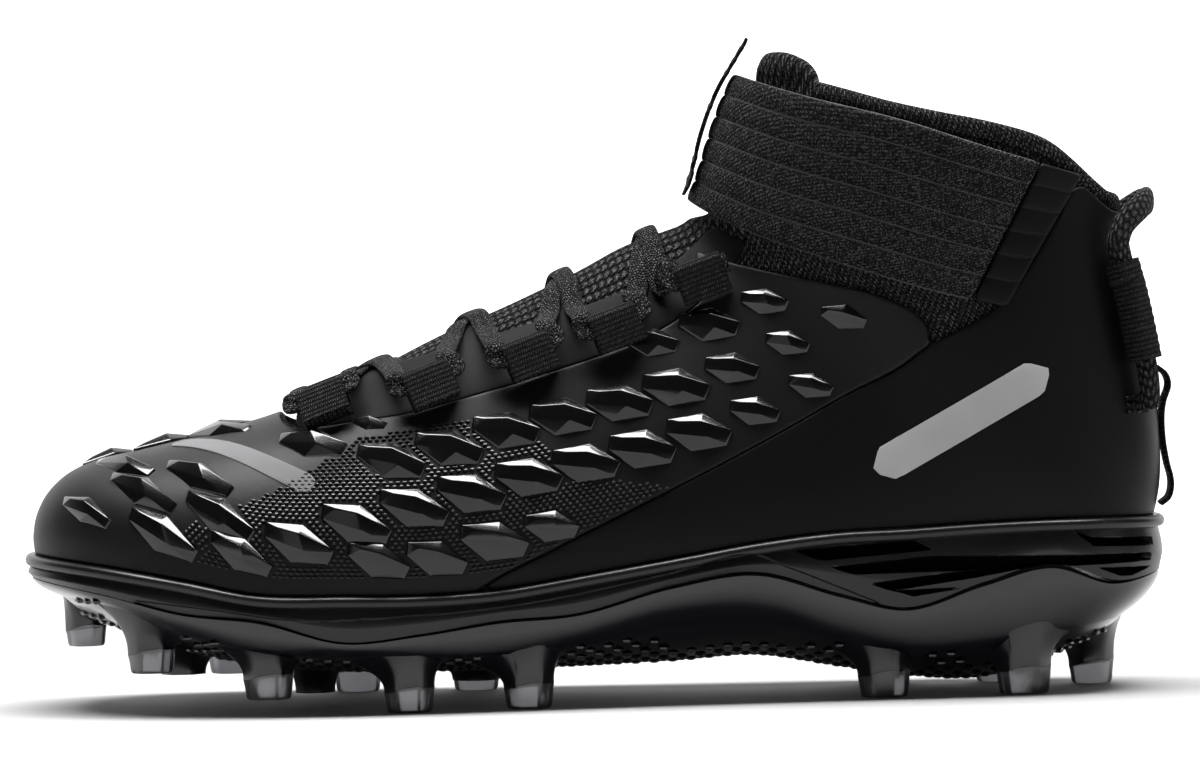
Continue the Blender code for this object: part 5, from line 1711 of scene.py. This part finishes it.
@dataclass
class Sole:
    """Midsole, plate and studs."""

    form: LastForm
    stations: int = 260
    louvre_depth: float = 0.0030
    step_depth: float = 0.0007
    belly: tuple[Point2, ...] = (
        (0.10, 0.97), (0.22, 0.91), (0.42, 0.80), (0.66, 0.66), (0.82, 0.52), (0.94, 0.38), (1.0, 0.26),
    )
    tooth_pitch: Point2 = (0.0048, 0.0046)
    tooth_clear: float = 0.0105
    tooth_rings: tuple[Point2, ...] = ((0.0019, -0.0003), (0.0015, 0.0003), (0.0007, 0.0007))
    loop: np.ndarray = field(init=False)
    outward: np.ndarray = field(init=False)

    def __post_init__(self) -> None:
        """Finds the form's outline where it meets the sole."""
        cast = self.form.tree.ray_cast
        toe_z, heel_z = (float(SOLE.height(along(share), "bite")) for share in (0, 1))
        toe = cast(Vector((-OUTSIDE, TOE_OFFSET, toe_z)), Vector((1, 0, 0)))[0].x
        heel = cast(Vector((OUTSIDE, 0, heel_z)), Vector((-1, 0, 0)))[0].x
        sides = []
        for side in (-1, 1):
            row: list[Point2] = []
            for i in range(self.stations):
                x = toe + (heel - toe) * (1 - math.cos(math.pi * (i + 0.5) / self.stations)) / 2
                hit = cast(Vector((x, side * 0.2, float(SOLE.height(x, "bite")))), Vector((0, -side, 0)))
                row.append((x, hit[0].y if hit[0] else (TOE_OFFSET if x < 0 else 0.0)))
            sides.append(row)
        self.loop = np.array(sides[0] + sides[1][::-1])
        tangent = np.roll(self.loop, -2, axis=0) - np.roll(self.loop, 2, axis=0)
        out = np.stack([tangent[:, 1], -tangent[:, 0]], axis=1)
        self.outward = out / np.linalg.norm(out, axis=1, keepdims=True)

    def ring(self, reach: np.ndarray | float, height: Measure, spread: float = 1.0) -> np.ndarray:
        """A ring round the sole.

        Args:
            reach: how far it lies beyond the form.
            height: its height at each x.
            spread: its width as a share of the form's.

        Returns:
            The ring's points.
        """
        across = self.loop[::-1, 1]
        p = self.loop + self.outward * np.broadcast_to(reach, len(self.loop))[:, None]
        x = p[:, 0] * (1 - (1 - spread) * 0.05)
        middle = (self.loop[:, 1] + across) / 2
        y = middle + (p[:, 1] - middle) * spread
        return np.column_stack([x, y, height(x)])

    def body(self, rings: Sequence[np.ndarray]) -> Solid:
        """A closed solid through rings, its top and bottom ruled from side to side."""
        count = len(rings[0])
        faces = tube_faces(len(rings), count)
        for base in (0, (len(rings) - 1) * count):
            end = base + count - 1
            faces += [(base + k, base + k + 1, end - 1 - k, end - k) for k in range(count // 2 - 1)]
        girth = np.concatenate([[0], np.cumsum(np.hypot(*np.diff(self.loop, axis=0).T))])
        points = np.vstack(rings)
        return Solid(points, faces, np.column_stack([np.tile(girth, len(rings)), points[:, 2]]))

    def carrier_rings(self) -> list[np.ndarray]:
        """The foam carrier's rings, over its rounded lip and down its side."""
        x = self.loop[:, 0]
        bite, parting = SOLE.height(x, "bite"), SOLE.height(x, "parting")
        rings = [self.ring(LIP_REACH - 0.0045, lambda _x: bite - GAP)]
        for angle in np.linspace(math.pi / 2, -math.pi / 2, 9):
            reach = LIP_REACH - 0.0014 + 0.0014 * math.cos(angle)
            z = bite - GAP - LIP_HEIGHT / 2 + (LIP_HEIGHT / 2) * math.sin(angle)
            rings.append(self.ring(reach, lambda _x, z=z: z))
        for a in np.linspace(0.03, 1.0, 34):
            z = (bite - LIP_HEIGHT) * (1 - a) + parting * a
            bow = 0.0011 * math.sin(math.pi * min(a / 0.62, 1.0) / 2) - 0.0010 * max(a - 0.62, 0) / 0.38
            rings.append(self.ring(SIDE_REACH - 0.0006 + bow, lambda _x, z=z: z))
        return rings

    def midsole(self, finish: Material) -> None:
        """The foam carrier, with its lip, its louvres and the step that crosses its side."""
        rings = self.carrier_rings()
        solid = self.body(rings)
        count, total = len(self.loop), len(rings)
        walls = np.array(solid.faces[: (total - 1) * count])
        normals = np.tile(np.column_stack([self.outward, np.zeros(count)]), (total, 1))
        data = np.column_stack([solid.points, normals, solid.uv])
        patch = Patch(data, np.concatenate([walls[:, [0, 1, 2]], walls[:, [0, 2, 3]]]), [])
        seen = patch.points[:, [0, 2]]
        louvre = np.full(len(seen), -1.0)
        for outline in LOUVRES:
            corners = np.array([(along(a), b * SOLE_HEIGHT) for a, b in outline])
            louvre = np.maximum(louvre, outline_distance(seen, corners))
        crease = spline([(along(a), b * SOLE_HEIGHT) for a, b in STEP_CREASE], 6)
        floor = np.column_stack([crease[::-1, 0], SOLE.height(crease[::-1, 0], "parting") - 0.0020])
        patch.mark("louvre", louvre)
        patch.mark("step", outline_distance(seen, closed(crease, floor)))
        for level in (-0.0002, 0.0, 0.0003):
            patch.split("louvre", level)
        for level in (0.0, 0.0005):
            patch.split("step", level)
        inset = self.louvre_depth * smoothstep(patch.value("louvre"), -0.0001, 0.0003)
        inset += self.step_depth * smoothstep(patch.value("step"), 0.0, 0.0005)
        points = patch.points - patch.data[:, 3:6] * inset[:, None]
        faces = patch.faces.tolist() + list(solid.faces[(total - 1) * count :])
        # The louvre mark also places the foam finish's painted shade on the louvre floors.
        carved = Solid(points, faces, patch.data[:, 6:8], {"louvre": patch.value("louvre")})
        carved.place("foam_carrier", finish, "midsole", ["midsole"])

    def plate(self, finish: Material, smoke: Material) -> None:
        """The outsole plate with its stud bases, and the stud tips."""
        x = self.loop[:, 0]
        tuck = SOLE.height(x, "tuck")

        def level(first: str, second: str, share: float, lift: float = 0.0) -> Measure:
            """A height between two of the sole's lines."""
            return lambda at: SOLE.height(at, first) * (1 - share) + SOLE.height(at, second) * share + lift

        rings = [self.ring(SIDE_REACH - 0.0012, level("parting", "parting", 0, -GAP))]
        for a in np.linspace(0.0, 1.0, 12):
            reach = SIDE_REACH - 0.0006 - (tuck - 0.0006) * a**1.7
            rings.append(self.ring(reach, level("parting", "edge", 0.06 + 0.94 * a, -GAP * (1 - a))))
        for share, spread in self.belly:
            rings.append(self.ring(SIDE_REACH - tuck, level("edge", "belly", share), spread))
        solid = self.body(rings)
        tree = BVHTree.FromPolygons(solid.points.tolist(), [list(f) for f in solid.faces])
        for row in STUDS + PADS:
            stud = dict(zip(STUD_COLUMNS, row))
            pad = stud["name"].startswith("pad")
            sx, sy, tip = along(stud["x"]), stud["y"] * FORM_WIDTH / 2, stud["tip"] * SOLE_HEIGHT
            joint = tip if pad else tip + STUD_TIP_HEIGHT * stud["size"]
            solid = solid.add(self.stud_base(stud, (sx, sy), joint, tree, pad))
            if not pad:
                made = self.stud_tip(stud, (sx, sy), tip, joint - 0.0001)
                made.place(f"tip_{stud['name']}", smoke, "tip", [f"stud_{stud['name']}"])
        solid.add(self.teeth(tree)).place("stud_plate", finish, "plate", ["outsole_plate"], 30.0)

    def teeth(self, tree: BVHTree) -> Solid:
        """The low teeth that cover the plate's underside between the studs."""
        taken = [(along(row[1]), row[2] * FORM_WIDTH / 2) for row in STUDS + PADS]
        points, rows = [], []
        for i in range(58):
            for j in range(-9, 10):
                x, y = along(0.05) + (i + 0.5 * (j % 2)) * self.tooth_pitch[0], j * self.tooth_pitch[1]
                if any(math.hypot(x - tx, y - ty) < self.tooth_clear for tx, ty in taken):
                    continue
                point, normal, _, _ = tree.ray_cast(Vector((x, y, BELOW)), Vector((0, 0, 1)))
                if point is None or abs(normal.z) < 0.86:
                    continue
                down = normal if normal.z < 0 else -normal
                start = len(points)
                for radius, depth in self.tooth_rings:
                    for a in np.radians((0, 60, 120, 180, 240, 300)):
                        out = Vector((math.cos(a), math.sin(a), 0))
                        points.append(tuple(point + down * depth + out * radius))
                rows += [[start + k for k in face] for face in tube_faces(3, 6) + tube_ends(3, 6)]
        made = np.array(points)
        return Solid(made, rows, made[:, :2])

    @staticmethod
    def hexagon() -> np.ndarray:
        """The stud's section, a hexagon with rounded corners, in shares of its two sizes."""
        corners = np.array(((-0.5, 0.0), (-0.22, 0.5), (0.22, 0.5), (0.5, 0.0), (0.22, -0.5), (-0.22, -0.5)))
        outline = []
        for i in range(6):
            a, b, c = corners[i - 1], corners[i], corners[(i + 1) % 6]
            start, end = b + (a - b) * 0.22, b + (c - b) * 0.22
            for t in (0.05, 0.28, 0.50, 0.72, 0.95):
                outline.append((1 - t) ** 2 * start + 2 * t * (1 - t) * b + t * t * end)
        return np.array(outline)

    @staticmethod
    def stack(rings: Sequence[np.ndarray]) -> Solid:
        """A closed solid through rings."""
        count, points = len(rings[0]), np.vstack(rings)
        return Solid(points, tube_faces(len(rings), count) + tube_ends(len(rings), count), points[:, [0, 2]])

    @staticmethod
    def ripple(section: np.ndarray) -> np.ndarray:
        """The wave of the joint between a stud's base and its tip, round the stud's section."""
        return JOINT_WAVE * (1.6 * section[:, 0] + 0.6 * np.sin(3 * np.arctan2(section[:, 1], section[:, 0])))

    def stud_base(self, stud: dict, place: Point2, joint: float, tree: BVHTree, pad: bool) -> Solid:
        """A stud's root: from the tip's joint it sweeps out until it lies on the plate.

        Args:
            stud: the stud's row, by column.
            place: its centre, as x and y.
            joint: the height of the joint.
            tree: the plate, as a ray target.
            pad: whether it is a low pad, without a tip.

        Returns:
            The root.
        """
        section = self.hexagon()
        size = stud["size"]
        low = np.column_stack([
            place[0] + section[:, 0] * STUD_TIP_LENGTH * 1.16 * size,
            place[1] + section[:, 1] * STUD_TIP_WIDTH * 1.16 * size,
            joint + self.ripple(section) * (0.0 if pad else 1.0),
        ])
        lean = stud["sweep"]
        ahead, behind = 0.0030 + 0.0105 * max(-lean, 0.0), 0.0028 + 0.0085 * max(lean, 0.0)
        away = section / np.linalg.norm(section, axis=1, keepdims=True)
        edge = float(SOLE.height(place[0], "edge"))
        high = []
        for (x, y, _), (ax, ay) in zip(low, away):
            out = 0.0075 if ay * place[1] > 0 and not pad else 0.0030
            target = Vector((x + ax * (ahead if ax < 0 else behind), y + ay * out, 0.0))
            hit = tree.ray_cast(Vector((target.x, target.y, BELOW)), Vector((0, 0, 1)))[0]
            if hit is None:
                target.z = min(edge + 0.0015, 0.0190)
                hit = tree.find_nearest(target)[0]
            inward = Vector((0.0, -hit.y, 0.0)).normalized() * 0.0004
            high.append(tuple(hit + inward + Vector((0, 0, 0.0005))))
        high = np.array(high)
        rings = []
        for t in np.linspace(0.0, 1.0, 14):
            level = low + (high - low) * t**2.3
            level[:, 2] = low[:, 2] + (high[:, 2] - low[:, 2]) * t
            rings.append(level)
        return self.stack(rings)

    def stud_tip(self, stud: dict, place: Point2, tip: float, joint: float) -> Solid:
        """A stud's clear tip, with its wavy joint on top.

        Args:
            stud: the stud's row, by column.
            place: its centre, as x and y.
            tip: the height of its end.
            joint: the height of the joint.

        Returns:
            The tip.
        """
        section = self.hexagon()
        rings = []
        steps = ((tip, 0.93), (tip + 0.0003, 1.0), (tip + 0.0009, 1.04), (tip + 0.003, 1.09), (joint, 1.165))
        for z, scale in steps:
            grow = scale * stud["size"]
            wave = self.ripple(section) if z == joint else 0.0
            rings.append(np.column_stack([
                place[0] + section[:, 0] * STUD_TIP_LENGTH * grow,
                place[1] + section[:, 1] * STUD_TIP_WIDTH * grow,
                np.broadcast_to(z + wave, len(section)),
            ]))
        return self.stack(rings)


@dataclass
class HeelPull:
    """The rope over the heel, its sleeves and the ribbon down the back."""

    form: LastForm
    rope_width: float = 0.0072
    rope_thickness: float = 0.0040
    sleeve_foot: float = SLEEVE_FOOT * FORM_HEIGHT
    sleeve_height: float = 0.0255
    sleeve_rib: float = 0.0003
    tack_heights: Point3 = (0.0762, 0.0744, 0.0726)
    tack_place: Point2 = (0.0155, 0.0066)
    tack_width: float = 0.0011

    def strip(self, rows: Sequence[Sequence[float]], section: np.ndarray, size: Size) -> Solid:
        """A strip over the back of the quarter, along rows of y, z and the gap to the quarter."""
        points, normals = zip(*(self.form.back_point(*(float(value) for value in row)) for row in rows))
        return sweep(points, normals, section, size)

    def rope(self) -> Solid:
        """The rope, from one end over the heel to the other."""
        rows = [
            (y * FORM_WIDTH / 2, self.sleeve_foot + share * self.sleeve_height + rise, lift)
            for y, share, rise, lift in ROPE_ROUTE
        ]
        half = [tuple(p) for p in spline(rows, 3)]
        route = half + [(-y, z, lift) for y, z, lift in half[-2::-1]]
        points, normals = zip(*(self.form.back_point(*p) for p in route))
        path = smooth_path(points, normals, 4)
        return sweep(*path, oval(22, 2.4), lambda t: (self.rope_width, self.rope_thickness))

    def sleeve(self, side: Side) -> Solid:
        """The ribbed sleeve round the rope on one side."""
        y = side.value * SLEEVE_PLACE * FORM_WIDTH / 2
        shares = np.linspace(0.0, 1.0, 60)
        rows = [(y, self.sleeve_foot + self.sleeve_height * share, SLEEVE_LIFT) for share in shares]
        extra = 2 * (WEBBING + GAP)
        width, thickness = self.rope_width + extra, self.rope_thickness + extra
        rib, turns = self.sleeve_rib, 22 * math.pi
        return self.strip(rows, oval(26, 3.0), lambda t: (width, thickness + rib * math.sin(t * turns)))

    def bartack(self, side: Side) -> Solid:
        """Three short bars of thread that hold the rope's end on one side."""
        start, length = self.tack_place
        width, bars = self.tack_width, []
        for z in self.tack_heights:
            rows = [(side.value * (start + length * t), z, 0.0004) for t in (0.0, 0.33, 0.67, 1.0)]
            bars.append(self.strip(rows, oval(10), lambda t: (width, width + 0.0002 * math.sin(t * 40))))
        return bars[0].add(bars[1]).add(bars[2])

    def build(self, rope: Material, webbing: Material) -> None:
        """Rope, sleeves, bartacks and ribbon."""
        self.rope().place("pull_rope", rope, "rope", ["heel_pull_rope"])
        for side in Side:
            self.sleeve(side).place(f"rope_sleeve_{side.word}", webbing, "webbing", [f"sleeve_{side.word}"])
        for side in Side:
            self.bartack(side).place(f"bartack_{side.word}", rope, "rope")
        rows = [(0.0, z, GAP + TAPE_THICKNESS / 2 + stand) for z, stand in spline(TAPE_ROUTE, 6)]
        tape = self.strip(rows, oval(14, 6.0), lambda t: (TAPE_WIDTH, TAPE_THICKNESS))
        tape.place("heel_ribbon", webbing, "webbing", ["heel_tape"])


def dress(node: str, finish: Material) -> None:
    """Gives a carried-over CAD node a finish."""
    for slot in bpy.data.objects[node].material_slots:
        slot.material = finish


def area_light(name: str, place: Vector, aim: Vector, size: Point2, power: float) -> None:
    """A soft rectangular light.

    Args:
        name: its name.
        place: where it stands.
        aim: the point that it faces.
        size: its width and height.
        power: its power in watts.
    """
    data = bpy.data.lights.new(name, "AREA")
    data.shape, data.size, data.size_y, data.energy = "RECTANGLE", size[0], size[1], power
    obj = bpy.data.objects.new(name, data)
    obj.location = place
    obj.rotation_euler = (aim - place).to_track_quat("-Z", "Y").to_euler()
    bpy.context.scene.collection.objects.link(obj)


def stage_plane(name: str, corners: Sequence[Sequence[float]], level: float, near: float, far: float) -> None:
    """A pale plane of the studio that glows softly beyond a distance from the shoe.

    Args:
        name: the plane's name.
        corners: its corners.
        level: its reflectance.
        near: where the glow starts, in metres.
        far: where the glow is full.
    """
    g = Graph(name)
    place = g.object_place()
    length = g.node("ShaderNodeVectorMath", {"operation": "LENGTH"}, {0: place}, "Value")
    glow = g.ramp(length, near, far)
    colour = g.mix(glow, (0.0, 0.0, 0.0), (1.0, 1.0, 1.0))
    finish = g.finish(
        {"Roughness": 0.9, "Base Color": (level, level, level, 1), "Emission Strength": 1.0},
        {"Emission Color": colour},
    )
    mesh = bpy.data.meshes.new(name)
    mesh.from_pydata(corners, [], [(0, 1, 2, 3)])
    mesh.materials.append(finish)
    obj = bpy.data.objects.new(name, mesh)
    bpy.context.scene.collection.objects.link(obj)


@dataclass(frozen=True)
class Studio:
    """Camera, floor, backdrop and lights."""

    sensor: float = 36.0
    lens: float = 205.5
    clip: Point2 = (0.05, 50.0)
    place: Point3 = (0.0022, -1.8, 0.132)
    aim: Point3 = (0.0022, 0.0, 0.0822)
    roll: float = math.radians(-1.3)
    lit: Point3 = (0.0, 0.0, 0.07)
    floor_level: float = 0.42
    wall_level: float = 0.8
    floor_glow: Point2 = (0.30, 0.90)
    wall_glow: Point2 = (-1.0, 0.0)
    ambient: float = 0.02

    def camera(self) -> None:
        """The camera, rolled a little as the photo's was."""
        lens = bpy.data.cameras.new("camera")
        lens.sensor_width, lens.lens = self.sensor, self.lens
        lens.clip_start, lens.clip_end = self.clip
        camera = bpy.data.objects.new("camera", lens)
        place, aim = Vector(self.place), Vector(self.aim)
        turn = (aim - place).to_track_quat("-Z", "Y").to_matrix() @ Euler((0, 0, self.roll)).to_matrix()
        camera.location, camera.rotation_euler = place, turn.to_euler()
        bpy.context.scene.collection.objects.link(camera)
        bpy.context.scene.camera = camera

    def world(self) -> None:
        """A faint even light from everywhere."""
        world = bpy.data.worlds.new("studio")
        world.use_nodes = True
        world.node_tree.nodes["Background"].inputs["Color"].default_value = (1, 1, 1, 1)
        world.node_tree.nodes["Background"].inputs["Strength"].default_value = self.ambient
        bpy.context.scene.world = world
        bpy.context.scene.view_settings.view_transform = "Standard"

    def build(self) -> None:
        """Everything round the shoe."""
        self.camera()
        floor = [(-4, -3, 0), (4, -3, 0), (4, 3, 0), (-4, 3, 0)]
        wall = [(-4, 3, -0.1), (4, 3, -0.1), (4, 3, 4), (-4, 3, 4)]
        stage_plane("studio_floor", floor, self.floor_level, *self.floor_glow)
        stage_plane("studio_wall", wall, self.wall_level, *self.wall_glow)
        for name, place, size, power in LIGHTS:
            area_light(name, Vector(place), Vector(self.lit), size, power)
        self.world()


def main() -> None:
    """Builds and dresses the shoe in order."""
    logging.basicConfig(level=logging.INFO, format="%(message)s")
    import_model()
    form = LastForm()
    knit = KnitFinish("chunky_knit", 0.012, 0.0030, 0.0022, 0.0013).make()
    rim_knit = KnitFinish("rim_knit", 0.013, 0.0014, 0.0015, 0.0007).make()
    fine_knit = KnitFinish("fine_knit", 0.013, 0.0016, 0.0018, 0.0008).make()
    film = FilmFinish().make()
    satin = SatinFinish("satin_shell", 0.0036, 0.46, specular=0.12).make()
    felt = SatinFinish("smooth_lining", 0.0020, 0.62, 0.00005, 2600.0, specular=0.10).make()
    # Painted shade: the floors of the foam's louvres are mixed towards near black.
    foam = SatinFinish("foam_skin", 0.0050, 0.34, specular=0.40, recess="louvre").make()
    gloss = SatinFinish("gloss_plate", 0.0045, 0.22, 0.00001, 1200.0, 1.5, 0.35, 0.45).make()
    elastic = WovenFinish("elastic", 0.0140, 0.00078, 0.00062, 0.0005, fleck=1.0, seams=6).make()
    webbing = WovenFinish("webbing", 0.0190, 0.00125, 0.0006, 0.0010, fleck=0.22).make()
    lace = WovenFinish("lace_braid", 0.0135, 0.00085, 0.00075, 0.0006, slant=1.2, fleck=1.0).make()
    rope = WovenFinish("rope_braid", 0.024, 0.0024, 0.0020, 0.0016, slant=1.5, fleck=0.25).make()
    smoke = SmokeFinish().make()
    # Painted shade: a darker copy of the pale badge finish on the toe, offsetting the strong top light.
    toe_pale_shaded = SatinFinish("toe_badge_film", 0.17, 0.75, 0.00001, 1500.0, 1.02, specular=0.06).make()
    heel_pale = SatinFinish("pale_badge", 0.42, 0.70, 0.00001, 1500.0, 1.02, specular=0.10).make()
    parts = UpperParts(form)
    parts.upper(fine_knit)
    parts.collar(rim_knit)
    parts.quarter(satin)
    parts.lining(felt)
    vamp = Vamp(form)
    vamp.build(film)
    badges = Badges(vamp, form)
    badges.toe(toe_pale_shaded)
    badges.heel(heel_pale)
    Tongue(form).build(knit)
    Strap(form).build(elastic, satin, webbing)
    Lacing(form).build(webbing, lace)
    sole = Sole(form)
    sole.midsole(foam)
    sole.plate(gloss, smoke)
    HeelPull(form).build(rope, webbing)
    dress("insole", fine_knit)
    Studio().build()


if __name__ == "__main__":
    main()
